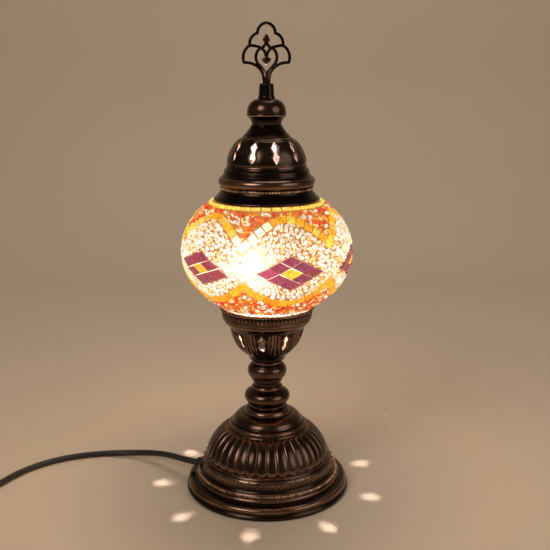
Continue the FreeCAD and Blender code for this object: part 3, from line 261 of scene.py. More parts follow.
def mottled(name, first, second, clouds, rough, grain, **values):
    """A plain material whose colour, roughness and grain all vary a little."""
    paint = Paint(name, **values)
    paint.colour(paint.noise(*clouds), first, second)
    paint.roughness(*rough)
    scale, detail, strength, distance = grain
    paint.bump(paint.noise(scale, detail), strength, distance)
    return paint.material


def cast_iron(name):
    return mottled(name, (0.05, 0.05, 0.055), (0.14, 0.13, 0.125), (90, 6), (300, 0.5, 0.75),
                   (450, 6, 0.6, 0.0004), Metallic=0.9)


def moulded(name, colour, rough):
    """Moulded plastic, rubber or ceramic: fine grain and a little unevenness."""
    paler = [min(1.0, channel * 1.35 + 0.006) for channel in colour]
    return mottled(name, colour, paler, (45, 4), (120, rough - 0.07, rough + 0.07),
                   (1300, 3, 0.18, 0.00012))


def sheath(name):
    """Black flexible sheath with a faint change of gloss."""
    return mottled(name, (0.008, 0.008, 0.008), (0.02, 0.019, 0.018), (30,), (60, 0.34, 0.5, 4),
                   (1500, 2, 0.12, 0.0001), Specular_IOR_Level=0.55)


def blown_glass(name, rough):
    return mottled(name, (0.95, 0.97, 0.94), (1.0, 1.0, 0.98), (20,), (80, rough, rough + 0.04),
                   (35, 3, 0.1, 0.0004), Transmission_Weight=1.0, IOR=1.5)


def felt(name):
    paint = Paint(name, Roughness=1.0, Sheen_Weight=0.5, Sheen_Roughness=0.6)
    fibres = paint.noise(900, 6, (1, 3, 1))
    paint.colour(fibres, (0.012, 0.03, 0.02), (0.04, 0.085, 0.06))
    paint.bump(fibres, 0.9, 0.0004)
    return paint.material


def woven(name):
    """A tight woven strap."""
    paint = Paint(name, Roughness=0.85, Sheen_Weight=0.3)
    along, across = (paint.put("ShaderNodeTexWave", Vector=paint.place, Scale=420.0,
                               Distortion=1.5) for _ in range(2))
    across.bands_direction = "Y"
    weave = paint.maths("MULTIPLY", along.outputs["Fac"], across.outputs["Fac"])
    paint.colour(weave, (0.008, 0.008, 0.009), (0.05, 0.05, 0.055))
    paint.bump(weave, 0.8, 0.0003)
    return paint.material


def lit_glass(name, rough, ripple):
    """Coloured glass with the bulb's light behind it painted on as emission, by each piece's glow;
    each piece carries its own tint.
    """
    paint = Paint(name, Coat_Weight=0.6, Coat_Roughness=0.08, IOR=1.5)
    tint = paint.attribute("tint", "Color")
    streaks = paint.noise(420, 4, roughness=0.6)
    shaded = paint.mix(paint.spread(streaks, 0.35, 0.68), rgb(0.62, 0.55, 0.5), rgb(1, 1, 1))
    body = paint.mix(1.0, tint, shaded, "MULTIPLY")
    paint.set("Base Color", paint.mix(1.0, body, rgb(0.26, 0.24, 0.22), "MULTIPLY"))
    paint.set("Emission Color", body)
    paint.set("Emission Strength", paint.attribute("glow", "Fac"))
    paint.roughness(300, rough, rough + 0.16)
    paint.bump(paint.noise(260, 3), ripple, 0.0005)
    paint.material.cycles.emission_sampling = "NONE"
    return paint.material


def lit_grout(name):
    """Gritty ivory grout with the bulb's light through the glass painted on: it emits by its glow
    and turns paler where that glow is strongest.
    """
    paint = Paint(name, Roughness=0.9)
    grit = paint.noise(500, 5, roughness=0.7)
    glow = paint.attribute("glow", "Fac")
    colour = paint.mix(grit, rgb(0.46, 0.13, 0.02), rgb(0.92, 0.42, 0.10))
    # painted light: paler where the painted glow is strongest, as if blown out by the bulb
    colour = paint.mix(paint.spread(glow, 0.7, 1.6), colour, rgb(1.0, 0.82, 0.55))
    paint.set("Base Color", paint.mix(1.0, colour, rgb(0.4, 0.4, 0.4), "MULTIPLY"))
    paint.set("Emission Color", colour)
    paint.set("Emission Strength", glow)
    paint.bump(grit, 0.7, 0.0004)
    paint.material.cycles.emission_sampling = "NONE"
    return paint.material


def bulb_opal(name):
    """Opal glass of the lit bulb, a little dimmer towards its neck."""
    paint = Paint(name, Roughness=0.25, Coat_Weight=0.5)
    height = paint.put("ShaderNodeSeparateXYZ", Vector=paint.place).outputs["Z"]
    paint.set("Base Color", rgb(0.95, 0.92, 0.86))
    paint.set("Emission Color", paint.mix(paint.noise(40), rgb(1.0, 0.80, 0.55),
                                          rgb(1.0, 0.88, 0.68)))
    paint.set("Emission Strength", paint.spread(height, 0.157, 0.185, 1.2, 3.5))
    paint.material.cycles.emission_sampling = "NONE"
    return paint.material


# ---------------------------------------------------------------- shapes

def through(r, z):
    """A point in the middle of an arc, between the outline points beside it."""
    return ("through", r, z)


def arc_points(start, middle, end, step):
    """Points along the arc through three points, without its end."""
    (ax, ay), (bx, by), (cx, cy) = start, middle, end
    double = 2 * (ax * (by - cy) + bx * (cy - ay) + cx * (ay - by))
    sa, sb, sc = ax * ax + ay * ay, bx * bx + by * by, cx * cx + cy * cy
    ux = (sa * (by - cy) + sb * (cy - ay) + sc * (ay - by)) / double
    uy = (sa * (cx - bx) + sb * (ax - cx) + sc * (bx - ax)) / double
    radius = math.hypot(ax - ux, ay - uy)
    first = math.atan2(ay - uy, ax - ux)
    last = math.atan2(cy - uy, cx - ux)
    way = (bx - ax) * (cy - ay) - (by - ay) * (cx - ax)
    sweep = (last - first) % math.tau if way > 0 else -((first - last) % math.tau)
    count = max(5, math.ceil(abs(sweep) * radius / step))
    return [(ux + radius * math.cos(first + sweep * k / count),
             uy + radius * math.sin(first + sweep * k / count)) for k in range(count)]


def line_points(start, end, step, edge=0.12):
    """Points along a straight run, close together at its ends so that its corners stay crisp."""
    length = math.dist(start, end)
    if length < 4 * edge:
        return [start]
    count = max(1, math.ceil((length - 2 * edge) / step))
    places = [0.0] + [edge + (length - 2 * edge) * k / count for k in range(count + 1)]
    return [(start[0] + (end[0] - start[0]) * place / length,
             start[1] + (end[1] - start[1]) * place / length) for place in places]


def sampled(outline, step=0.7, lift=0.0, closed=True):
    """An outline of runs and arcs as close points; a closed one joins its last point to its first."""
    points, index, count = [], 0, len(outline)
    while index < (count if closed else count - 1):
        start, after = outline[index], outline[(index + 1) % count]
        if after[0] == "through":
            end = outline[(index + 2) % count]
            points += arc_points(start, after[1:], end, step)
            index += 2
        else:
            points += line_points(start, after, step)
            index += 1
    if not closed:
        points.append(outline[-1])
    return np.array(points) + (0.0, lift)


def outward(points):
    """Normals of a closed outline whose outside lies to the right of its way."""
    way = np.roll(points, -1, 0) - np.roll(points, 1, 0)
    length = np.maximum(np.hypot(way[:, 0], way[:, 1]), 1e-9)
    return np.stack([way[:, 1], -way[:, 0]], 1) / length[:, None]


def smooth(value, low, high):
    share = np.clip((value - low) / (high - low), 0, 1)
    return share * share * (3 - 2 * share)


class Shape:
    """Points in millimetres and faces of one piece, with named values at each point."""

    def __init__(self):
        self.points, self.faces, self.values, self.count = [], [], {}, 0

    def add(self, points, faces, **values):
        points = np.asarray(points, float).reshape(-1, 3)
        self.points.append(points)
        self.faces += [tuple(corner + self.count for corner in face) for face in faces]
        for name, value in values.items():
            value = np.asarray(value, float)
            whole = (len(points), 3) if value.shape[-1:] == (3,) else (len(points),)
            self.values.setdefault(name, []).append(np.broadcast_to(value, whole))
        self.count += len(points)

    def build(self, name, body, slot, materials, weld=True, pick=None):
        data = bpy.data.meshes.new(name)
        points = np.concatenate(self.points) * MM
        data.from_pydata(points.tolist(), [], self.faces)
        for label, parts in self.values.items():
            value, kind, field = np.concatenate(parts), "FLOAT", "value"
            if value.ndim == 2:
                value = np.concatenate([value, np.ones((len(value), 1))], 1)
                kind, field = "FLOAT_COLOR", "color"
            data.attributes.new(label, kind, "POINT").data.foreach_set(field, value.ravel())
        if weld:
            whole = bmesh.new()
            whole.from_mesh(data)
            bmesh.ops.remove_doubles(whole, verts=whole.verts, dist=2e-6)
            bmesh.ops.recalc_face_normals(whole, faces=whole.faces)
            whole.to_mesh(data)
            whole.free()
        data.polygons.foreach_set("use_smooth", [True] * len(data.polygons))
        for material in materials:
            data.materials.append(material)
        if pick:
            pick(data)
        data.update()
        piece = placed(name, data)
        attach(piece, body)
        return piece


def sheet_faces(rows, columns, close_rows, close_columns):
    """Quads of a grid whose points are listed row after row."""
    faces = []
    for i in range(rows if close_rows else rows - 1):
        below, above = i * columns, (i + 1) % rows * columns
        for j in range(columns if close_columns else columns - 1):
            k = (j + 1) % columns
            faces.append((below + j, below + k, above + k, above + j))
    return faces


def round_place(radius, turn, z):
    """Points from radii, angles from the front, and heights."""
    radius, turn, z = np.broadcast_arrays(radius, turn, z)
    return np.stack([radius * np.sin(turn), -radius * np.cos(turn), z], -1)


def level_axes(turn):
    """The level ways along the circle and outwards at an angle."""
    return (np.array([math.cos(turn), math.sin(turn), 0.0]),
            np.array([math.sin(turn), -math.cos(turn), 0.0]))


BARE_METAL = 0.045


def burnish(grid, normals, whole=True):
    """Wear from 0 to 1 by how far each point of a grid stands out, full at BARE_METAL."""
    beside = np.pad(grid, ((1, 1), (1, 1), (0, 0)), "wrap" if whole else "edge")
    proud = ((grid - (beside[2:, 1:-1] + beside[:-2, 1:-1]) / 2) * normals).sum(-1)
    side = ((grid - (beside[1:-1, 2:] + beside[1:-1, :-2]) / 2) * normals).sum(-1)
    if not whole:
        side[:, [0, -1]] = 0
    return np.clip((proud + side) / BARE_METAL, 0, 1)


def raised(points, normals, turn, height):
    """An outline at many angles, lifted along its normals: the grid and its normals."""
    grid = round_place(points[:, :1] + normals[:, :1] * height, turn,
                       points[:, 1:] + normals[:, 1:] * height)
    return grid, round_place(normals[:, :1], turn, normals[:, 1:])


def turned(shape, points, turns=192, relief=None):
    """A closed outline turned about the axis; relief gives the height of its ornament."""
    normals = outward(points)
    turn = np.arange(turns) * math.tau / turns
    height = np.zeros((len(points), turns))
    if relief:
        height = height + relief(points, turn)
    grid, ways = raised(points, normals, turn[None, :], height)
    shape.add(grid, sheet_faces(len(points), turns, True, True),
              wear=burnish(grid, ways).ravel())


def ball(rings, sides):
    """A unit ball: points and faces."""
    points = [(0, 0, -1)]
    for i in range(1, rings):
        tilt = math.pi * i / rings
        points += [(math.sin(tilt) * math.cos(math.tau * j / sides),
                    math.sin(tilt) * math.sin(math.tau * j / sides), -math.cos(tilt))
                   for j in range(sides)]
    points.append((0, 0, 1))
    faces = [(0, 1 + (j + 1) % sides, 1 + j) for j in range(sides)]
    faces += [tuple(1 + corner for corner in face)
              for face in sheet_faces(rings - 1, sides, False, True)]
    top, last = len(points) - 1, 1 + (rings - 2) * sides
    faces += [(last + j, last + (j + 1) % sides, top) for j in range(sides)]
    return np.array(points, float), faces


def rope(shape, radius, z, thickness, pitch):
    """A twisted ring: slanted strands one after another round the axis."""
    count = round(math.tau * radius / pitch)
    points, faces = ball(6, 8)
    stretched = points * (0.95 * thickness, 0.62 * thickness, 0.75 * thickness)
    up = np.array([0, 0, 1.0])
    for number in range(count):
        turn = math.tau * number / count
        along, out = level_axes(turn)
        strand = along * 0.72 + up * 0.69
        side = along * -0.69 + up * 0.72
        shape.add(round_place(radius, turn, z) + stretched @ np.array([strand, side, out]), faces)


def wire(shape, radius, z, thickness):
    """A thin smooth ring round the axis."""
    angle = np.arange(10) * math.tau / 10
    turned(shape, np.stack([radius + thickness * np.cos(angle), z + thickness * np.sin(angle)], 1))


def bead_ring(shape, radius, z, size, count):
    points, faces = ball(7, 10)
    for number in range(count):
        turn = math.tau * (number + 0.5) / count
        shape.add(round_place(radius, turn, z) + points * size, faces, wear=0.75)


def ridge(value, middle, width):
    return np.exp(-((value - middle) / width) ** 2)


SMALL_LEAVES, LEAF_HEIGHT = 72, 0.35


def leaf_row(points, turn, low, high):
    """Relief of a row of small pointed leaves standing between two levels."""
    share = (points[:, 1:] - low) / (high - low)
    side = np.abs((turn[None, :] * SMALL_LEAVES / math.tau) % 1.0 - 0.5) * 2
    edge = 1.0 - side - 0.9 * np.clip(share, 0, 1) ** 2
    inside = smooth(edge, 0.0, 0.16) * ((share > 0) & (share < 1))
    return LEAF_HEIGHT * inside * (0.75 + 0.4 * ridge(side, 0, 0.14))


# ---------------------------------------------------------------- base

LOBES = 36
LOBE_FOOT, LOBE_TOP = 26.9, 50.4
BASE_OUTSIDE = [
    (64.6, 0), (64.8, 1.8), (63.7, 3.4), (63.5, 4.6), through(63.0, 7.1), (61.0, 8.3),
    (58.3, 8.8), (56.6, 10.0), through(56.1, 11.6), (54.8, 12.3), through(54.9, 14.1),
    (53.4, 15.6), (52.4, 17.0), (51.8, 19.8), through(51.6, 22.4), (50.0, 24.4),
    (49.2, 25.8), through(44.9, 37.8), (31.2, 50.3), (30.2, 50.6), through(30.3, 52.4),
    (28.6, 53.6), (27.6, 54.4), through(25.0, 58.6), (19.4, 61.2), (18.2, 61.8),
    through(17.6, 63.8), (15.4, 65.6), (14.2, 66.3), (14.2, 66.8),
]
BASE_INSIDE = [
    (5.3, 66.8), (5.3, 64.8), (13.2, 64.8), (17.0, 60.4), (23.6, 56.6), (27.0, 52.2),
    (30.2, 48.9), through(43.4, 37.0), (47.6, 25.4), (50.0, 19.4), (52.6, 12.8), (55.4, 9.0),
    (58.0, 7.6), (61.2, 6.8), (62.2, 4.4), (62.2, 0),
]


def base_relief(points, turn):
    """Rounded lobes down the dome, and a row of leaves under them."""
    mid_wall = np.interp(points[:, 1:], [0, 26, 51, 67], [62.4, 48.6, 30, 5.4])
    outside = points[:, :1] > mid_wall
    step = np.r_[0, np.hypot(*np.diff(points, axis=0).T)]
    along = np.cumsum(step)[:, None]
    low = along[np.argmax(points[:, 1] > LOBE_FOOT)][0]
    high = along[np.argmax(points[:, 1] > LOBE_TOP)][0]
    half = points[:, :1] * math.pi / LOBES
    side = ((turn[None, :] * LOBES / math.tau) % 1.0) * 2 - 1
    end = np.maximum(0, np.maximum((low + half - along) / half, (along - high + half) / half))
    lobe = np.sqrt(np.clip(1 - side ** 2 - end ** 2, 0, 1)) ** 0.7
    band = smooth(along, low - 0.9, low) * (1 - smooth(along, high, high + 0.7))
    depth = np.interp(points[:, 1:], [26, 50], [1.45, 1.0])
    relief = depth * (lobe - 1) * band + leaf_row(points, turn, 17.4, 21.6)
    return relief * outside


def make_base(copper):
    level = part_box("base_shell")[0].z / MM
    shape = Shape()
    turned(shape, sampled(BASE_OUTSIDE + BASE_INSIDE, 0.6, level), LOBES * 18, base_relief)
    bead_ring(shape, 51.1, level + 22.5, 1.15, LOBES)
    piece = shape.build("base_casting", "stand", "antique_copper", [copper])
    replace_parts(piece, "base_shell")


# ---------------------------------------------------------------- stem, knob and socket

TURNED_PIECES = {
    "lower_baluster": ("stand", [
        (5.3, 0), (14.0, 0), (14.0, 1.5), (15.0, 2.8), through(17.9, 7.7), (16.0, 11.8),
        (13.2, 13.4), (12.0, 14.2), through(12.2, 15.5), (11.0, 16.8), (10.6, 18.2),
        (10.6, 19.2), (5.3, 19.2)]),
    "upper_baluster": ("stand", [
        (5.3, 0), (10.8, 0), (11.2, 1.2), (12.0, 2.0), (12.0, 2.8), (12.8, 3.6), (12.8, 4.4),
        (13.6, 5.0), through(15.4, 9.3), (14.3, 13.3), (12.6, 15.4), (11.4, 16.2),
        through(11.9, 17.3), (11.4, 18.4), (5.3, 18.4)]),
    "cap_knob": ("cap", [
        (3.1, 0), (10.8, 0), (11.0, 1.0), through(12.2, 3.6), (14.7, 6.0), (14.9, 6.6),
        (14.4, 7.5), through(13.9, 11.9), (9.8, 17.3), (8.2, 18.0), (3.1, 18.0)]),
    "finial_socket": ("cap", [
        (0.3, 0), (6.3, 0), (6.1, 2.0), (5.7, 2.4), (5.2, 10.6), (4.6, 11.2), (0.3, 11.2)]),
}


def make_turned_pieces(copper):
    for node, (body, outline) in TURNED_PIECES.items():
        shape = Shape()
        turned(shape, sampled(outline, 0.35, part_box(node)[0].z / MM), 144)
        piece = shape.build(node + "_turned", body, "antique_copper", [copper])
        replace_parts(piece, node)


# ---------------------------------------------------------------- pierced cup and cap

def pierced(shape, outside, inside, window, count, first, relief):
    """A double wall turned about the axis, with a ring of windows and their cut edges.

    The window is the outline of its right side, from the top down.
    """
    rows = 30
    half_widths, heights = np.array(window[::-1]).T
    low, high = heights[0], heights[-1]
    levels = (low + high) / 2 - (high - low) / 2 * np.cos(np.linspace(0, math.pi, rows))

    def with_rows(outline, rising):
        """The outline, with the window's levels in place of its own points there."""
        points = sampled(outline, 0.55, closed=False)
        points = points if rising else points[::-1]
        cut = (points[:, 1] > low - 0.05) & (points[:, 1] < high + 0.05)
        start = np.argmax(cut)
        near = slice(start - 1, start + cut.sum() + 1)
        radii = np.interp(levels, points[near, 1], points[near, 0])
        new = np.concatenate([points[:start], np.stack([radii, levels], 1),
                              points[start + cut.sum():]])
        return new if rising else new[::-1]

    outer = with_rows(outside, True)
    inner = with_rows(inside, False)
    points = np.concatenate([outer, inner])
    open_width = np.interp(points[:, 1], heights, half_widths, 0.0, 0.0)
    half = math.pi / count
    gap = np.arcsin(np.clip(open_width / points[:, 0], 0, 0.9))
    columns = 21
    share = np.linspace(0, 1, columns) ** 0.9
    normals = outward(points)
    skin = np.arange(len(points)) < len(outer)
    first_outer = int(np.argmin(np.abs(outer[:, 1] - levels[0])))
    first_inner = len(outer) + int(np.argmin(np.abs(inner[:, 1] - levels[-1])))
    for number in range(count):
        centre = math.radians(first) + math.tau * number / count
        for side in (-1, 1):
            local = side * (gap[:, None] + (half - gap[:, None]) * share[None, :])
            height = relief(points, local, half, open_width) * skin[:, None]
            grid, ways = raised(points, normals, centre + local, height)
            wear = burnish(grid, ways, False) * skin[:, None]
            faces = sheet_faces(len(points), columns, True, False)
            for k in range(rows - 1):
                a, b = first_outer + k, first_outer + k + 1
                c, d = first_inner + rows - 2 - k, first_inner + rows - 1 - k
                faces.append((a * columns, b * columns, c * columns, d * columns))
            shape.add(grid, faces, wear=wear.ravel(), inside=np.repeat(
                (~skin).astype(float), columns))


def pick_inside(data):
    """Give the faces of the inner wall the second material."""
    value = np.zeros(len(data.vertices))
    data.attributes["inside"].data.foreach_get("value", value)
    for face in data.polygons:
        face.material_index = int(min(value[corner] for corner in face.vertices) > 0.5)
    data.attributes.remove(data.attributes["inside"])


CUP_OUTSIDE = [
    (5.3, 0), (12.4, 0), (14.2, 1.8), (14.8, 3.6), (15.6, 4.9), through(20.3, 9.0),
    (24.0, 13.4), through(27.0, 19.6), (28.8, 26.4), (30.4, 29.4), (32.2, 31.4),
    through(33.6, 33.0), (33.5, 34.3), through(34.8, 35.6), (34.4, 36.8), (35.2, 41.2),
    (35.9, 42.3), through(36.9, 43.5), (36.2, 44.3), (34.7, 44.3),
]
CUP_INSIDE = [
    (34.7, 43.2), (33.0, 36.4), (31.0, 31.9), (29.0, 29.8), (27.4, 26.6), through(25.6, 20.0),
    (22.8, 14.4), through(18.8, 10.2), (14.2, 6.6), (12.0, 2.6), (5.3, 2.6), (5.3, 0.6),
]
CUP_WINDOW = [
    (0, 26.6), (1.2, 24.4), (2.5, 22.6), (1.1, 19.6), (2.4, 16.4), (1.2, 14.2), (0, 12.4),
]
CAP_OUTSIDE = [
    (39.8, 0), (39.9, 1.2), through(36.7, 4.4), (34.5, 7.2), (34.1, 8.3), through(34.5, 9.3),
    (34.0, 10.3), (34.6, 10.9), through(36.2, 13.6), (34.0, 17.6), (32.4, 19.2), (31.9, 21.4),
    (31.6, 22.6), (30.2, 24.2), (29.8, 25.6), through(28.0, 34.0), (21.4, 44.2),
    through(14.8, 50.2), (11.0, 55.8), (3.1, 55.8),
]
CAP_INSIDE = [
    (3.1, 54.4), (9.4, 54.4), through(13.4, 49.2), (19.9, 43.4), through(26.4, 33.6),
    (28.4, 25.6), (28.6, 23.6), (30.4, 20.8), (30.9, 18.4), (32.8, 16.0), through(34.7, 13.4),
    (33.0, 11.4), (32.6, 8.4), (33.2, 6.4), (38.4, 0.8),
]
CAP_WINDOW = [
    (0, 44.0), (1.3, 42.4), (2.9, 40.4), (1.3, 36.6), (2.6, 33.0), (1.3, 30.4), (0, 28.6),
]


def window_rim(points, local, open_width, out, width, foot, top):
    """A raised rim close round each window, which fades out below and above it."""
    z = points[:, 1:]
    beside = np.abs(local) * points[:, :1] - open_width[:, None]
    return ridge(beside, out, width) * smooth(z, *foot) * (1 - smooth(z, *top))


def cup_relief(points, local, half, open_width):
    """A raised rim round each window, ribs between them, and leaves round the upper band."""
    z = points[:, 1:]
    panel = smooth(z, 8.0, 12.0) * (1 - smooth(z, 27.2, 28.8))
    offset = (half - np.abs(local)) * points[:, :1]
    groove, rib = ridge(offset, 2.6, 0.75), ridge(offset, 0, 1.7)
    hollow = smooth(offset, 3.0, 7.0)
    rim = window_rim(points, local, open_width, 0.7, 0.6, (10.5, 13.0), (26.0, 27.6))
    relief = panel * (-0.9 * groove + 0.35 * rib - 0.45 * hollow + 0.4 * rim)
    return relief + leaf_row(points, local[0] + half, 36.9, 40.9)


def cap_relief(points, local, half, open_width):
    """A fine rim round each window and two engraved lines."""
    z = points[:, 1:]
    rim = window_rim(points, local, open_width, 0.6, 0.5, (27.0, 29.5), (43.0, 45.5))
    return 0.3 * rim - 0.3 * (ridge(z, 26.8, 0.35) + ridge(z, 46.6, 0.35))


# CAD node, piece, body, outside, inside, window, count, turn of the first in degrees, relief,
# colour of the inside; the cup's is pale as painted light, so its windows look lit by the bulb,
# and the cap's is darker
PIERCED_PIECES = [
    ("cup_shell", "cup_casting", "stand", CUP_OUTSIDE, CUP_INSIDE, CUP_WINDOW, 9, -8.0,
     cup_relief, (0.80, 0.74, 0.75)),
    ("cap_shell", "cap_casting", "cap", CAP_OUTSIDE, CAP_INSIDE, CAP_WINDOW, 10, 15.0,
     cap_relief, (0.17, 0.145, 0.15)),
]


def make_pierced_pieces(copper):
    for node, name, body, outside, inside, window, count, first, relief, light in PIERCED_PIECES:
        shape = Shape()
        pierced(shape, outside, inside, window, count, first, relief)
        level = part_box(node)[0].z / MM
        shape.points = [points + (0, 0, level) for points in shape.points]
        piece = shape.build(name, body, "antique_copper",
                            [copper, inner_metal(name + "_inside", light)], pick=pick_inside)
        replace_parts(piece, node)


# piece, body, CAD node it sits on, radius, height over that node's foot, thickness, pitch;
# the one without a pitch is a smooth wire
RUBBED_RINGS = [
    ("base_rope", "stand", "base_shell", 55.2, 14.0, 1.25, 2.3),
    ("cup_rope", "stand", "cup_shell", 36.0, 43.2, 1.25, 2.2),
    ("cap_rope", "cap", "cap_shell", 34.2, 9.3, 1.35, 2.3),
    ("knob_edge", "cap", "cap_knob", 14.65, 6.3, 0.32, None),
]


def make_rings(rubbed):
    """The twisted rings and edge lines where the copper is rubbed bright."""
    for name, body, node, radius, rise, thickness, pitch in RUBBED_RINGS:
        shape = Shape()
        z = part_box(node)[0].z / MM + rise
        if pitch:
            rope(shape, radius, z, thickness, pitch)
        else:
            wire(shape, radius, z, thickness)
        shape.build(name, body, "antique_copper", [rubbed])


# ---------------------------------------------------------------- finial

# its bars on the right side, as arcs (start, middle, end) across and up
FINIAL_ARCS = [
    ((0.0, 358.2), (4.2, 356.4), (6.4, 351.2)),
    ((6.4, 351.2), (10.4, 348.6), (11.9, 342.6)),
    ((11.9, 342.6), (16.2, 337.6), (16.1, 330.6)),
    ((16.1, 330.6), (11.4, 330.2), (6.2, 327.6)),
    ((6.2, 327.6), (3.2, 324.0), (1.8, 319.0)),
    ((11.9, 342.6), (8.0, 342.2), (4.0, 341.0)),
    ((4.0, 341.0), (7.6, 334.4), (5.6, 329.2)),
    ((5.6, 329.2), (3.0, 326.4), (0.0, 322.4)),
    ((0.0, 345.6), (1.5, 342.4), (3.6, 340.6)),
    ((3.6, 340.6), (1.6, 338.8), (0.4, 335.4)),
]
FINIAL_TRUNK = [(0, 324.4), (3.0, 326.6), (5.6, 328.3), (4.8, 325.6), (3.5, 322.2), (2.9, 318.0),
                (2.4, 312.4), (0, 312.4)]
FINIAL_LEAVES = [
    [(0, 351.0), (1.9, 348.6), (2.7, 346.4), (1.7, 344.7), (0, 344.2)],
    [(0, 336.6), (0.9, 335.0), (2.0, 334.0), (3.6, 333.6), (2.8, 331.6), (0, 328.9)],
]
BAR_HALF_WIDTH, BAR_HALF_DEPTH = 1.12, 1.2
TRUNK_HALF_DEPTH = 1.18


def bar(shape, arc, side):
    """One bar of the finial: an arc swept with a rounded section, closed by round ends."""
    start, middle, end = [(side * x, z) for x, z in arc]
    path = np.array(arc_points(start, middle, end, 0.55) + [end])
    way = np.gradient(path, axis=0)
    way /= np.hypot(way[:, 0], way[:, 1])[:, None]
    normal = np.stack([way[:, 1], -way[:, 0]], 1)
    sides = 12
    angle = np.arange(sides) * math.tau / sides
    across = BAR_HALF_WIDTH * np.sign(np.cos(angle)) * np.abs(np.cos(angle)) ** 0.8
    deep = BAR_HALF_DEPTH * np.sign(np.sin(angle)) * np.abs(np.sin(angle)) ** 0.8
    grid = np.zeros((len(path), sides, 3))
    grid[..., 0] = path[:, :1] + normal[:, :1] * across
    grid[..., 2] = path[:, 1:] + normal[:, 1:] * across
    grid[..., 1] = deep
    shape.add(grid, sheet_faces(len(path), sides, False, True), wear=np.tile(
        np.abs(np.cos(angle)) ** 6 * 0.5, len(path)))
    points, faces = ball(8, 12)
    for x, z in (path[0], path[-1]):
        end_cap = points * (BAR_HALF_WIDTH, BAR_HALF_DEPTH, BAR_HALF_WIDTH) + (x, 0, z)
        shape.add(end_cap, faces, wear=0.2)


def both_sides(half_outline):
    """The whole outline from its right half, which starts and ends on the axis."""
    return half_outline + [(-x, z) for x, z in reversed(half_outline) if x]


def leaf(shape, half_outline):
    """A small leaf, swelling to a ridge in its middle, front and back."""
    edge = both_sides(half_outline)
    count = len(edge)
    middle = sum(z for _, z in edge) / count
    rings = ((1.0, 0.35), (0.93, 0.8), (0.6, 1.1), (0.2, 1.2))
    for way in (-1, 1):
        points = [(x * share, way * deep, middle + (z - middle) * share)
                  for share, deep in rings for x, z in edge]
        points.append((0.0, way * 1.22, middle))
        faces = sheet_faces(len(rings), count, False, True)
        last = (len(rings) - 1) * count
        faces += [(last + j, last + (j + 1) % count, len(points) - 1) for j in range(count)]
        shape.add(points, faces if way > 0 else [face[::-1] for face in faces], wear=0.3)
    rim = [(x, way * rings[0][1], z) for way in (-1, 1) for x, z in edge]
    shape.add(rim, sheet_faces(2, count, False, True), wear=0.3)


def trunk(shape):
    """The solid foot of the finial, from its tang to where the bars part."""
    edge = both_sides(FINIAL_TRUNK)
    half, count = len(FINIAL_TRUNK), len(edge)
    right = [(0, k, k + 1) for k in range(1, half - 1)]
    left = [(0, (-k - 1) % count, -k % count) for k in range(1, half - 1)]
    sides = [[(x, deep, z) for x, z in edge] for deep in (-TRUNK_HALF_DEPTH, TRUNK_HALF_DEPTH)]
    for points in sides:
        shape.add(points, right + left, wear=0.25)
    rim = sides[0] + sides[1]
    shape.add(rim, sheet_faces(2, count, False, True), wear=0.3)


def make_finial(copper):
    shape = Shape()
    for arc in FINIAL_ARCS:
        for side in (1, -1):
            bar(shape, arc, side)
    for half_outline in FINIAL_LEAVES:
        leaf(shape, half_outline)
    trunk(shape)
    piece = shape.build("finial_lace", "cap", "antique_copper", [copper])
    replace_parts(piece, "finial_plate")


# ---------------------------------------------------------------- mosaic globe

GLOBE_MIDDLE = 192.4
GROUT_RADIUS = 63.7
GROUT_RISE = 49.0
LOZENGES = [(-47, -7), (16, -1), (77.5, 4), (136, 0), (195, 3), (254, -3)]
LOZENGE_RISE = -4.4
LOZENGE_SIZE = (50.0, 25.0)
BAND_TILE, BAND_GAP = 5.4, 0.7
SLOPE_REACH = 40
UPPER_BAND = (11.6, 19.5)
LOWER_BAND = (-13.2, -15.0)
RIM_RISE = 36.6
# the painted hot spot of bulb light on the globe: its turn, height and reach
HOT_TURN, HOT_RISE, HOT_REACH = math.radians(-9), 1.0, 19.0


def radius_at(rise):
    return GROUT_RADIUS * np.sqrt(1 - (np.asarray(rise, float) / GROUT_RISE) ** 2)


def facet(turn, rise):
    """Place on the grout, and the rows along, up and outwards of its frame."""
    radius = float(radius_at(rise))
    along, out = level_axes(turn)
    place = out * radius + (0, 0, GLOBE_MIDDLE + rise)
    normal = out * (radius / GROUT_RADIUS ** 2) + (0, 0, rise / GROUT_RISE ** 2)
    normal /= np.linalg.norm(normal)
    return place, np.array([along, np.cross(normal, along), normal])


def leaning(along, up, lean):
    """Two lengths or axes seen from a frame that leans by an angle."""
    return (along * math.cos(lean) + up * math.sin(lean),
            up * math.cos(lean) - along * math.sin(lean))


def spun(axes, lean):
    """The frame turned about its normal."""
    return np.array([*leaning(axes[0], axes[1], lean), axes[2]])


def hot_distance(turn, rise):
    """Millimetres from the place where the bulb comes nearest to the glass."""
    turned_by = (turn - HOT_TURN + math.pi) % math.tau - math.pi
    return math.hypot(turned_by * float(radius_at(rise)), rise - HOT_RISE)


def painted_bulb_light(turn, rise):
    """Painted light: how strongly the bulb shines through at a place, as emission on the glass
    and grout: most near it, least by the metal.
    """
    level = 0.96 + 0.46 * math.exp(-((rise + 2) / 24) ** 2)
    return level * (1 + 1.2 * math.exp(-(hot_distance(turn, rise) / HOT_REACH) ** 2))


def painted_falloff_tint(tint, turn, rise):
    """Painted light: a pale tint turns more amber the further it is from the bulb, as less of its
    light comes through.
    """
    depth = 1.9 - 1.2 * math.exp(-(hot_distance(turn, rise) / 55) ** 2)
    return np.array(tint) ** depth


TILE_STEPS = np.array([0.0, 0.05, 0.16, 0.38, 0.62, 0.84, 0.95, 1.0])
TILE_HEIGHT, TILE_SWELL, TILE_RIM = 1.05, 0.5, 0.12
TILE_DEPTH = 0.4
HAND_CUT, HAND_SET = 0.14, 0.035


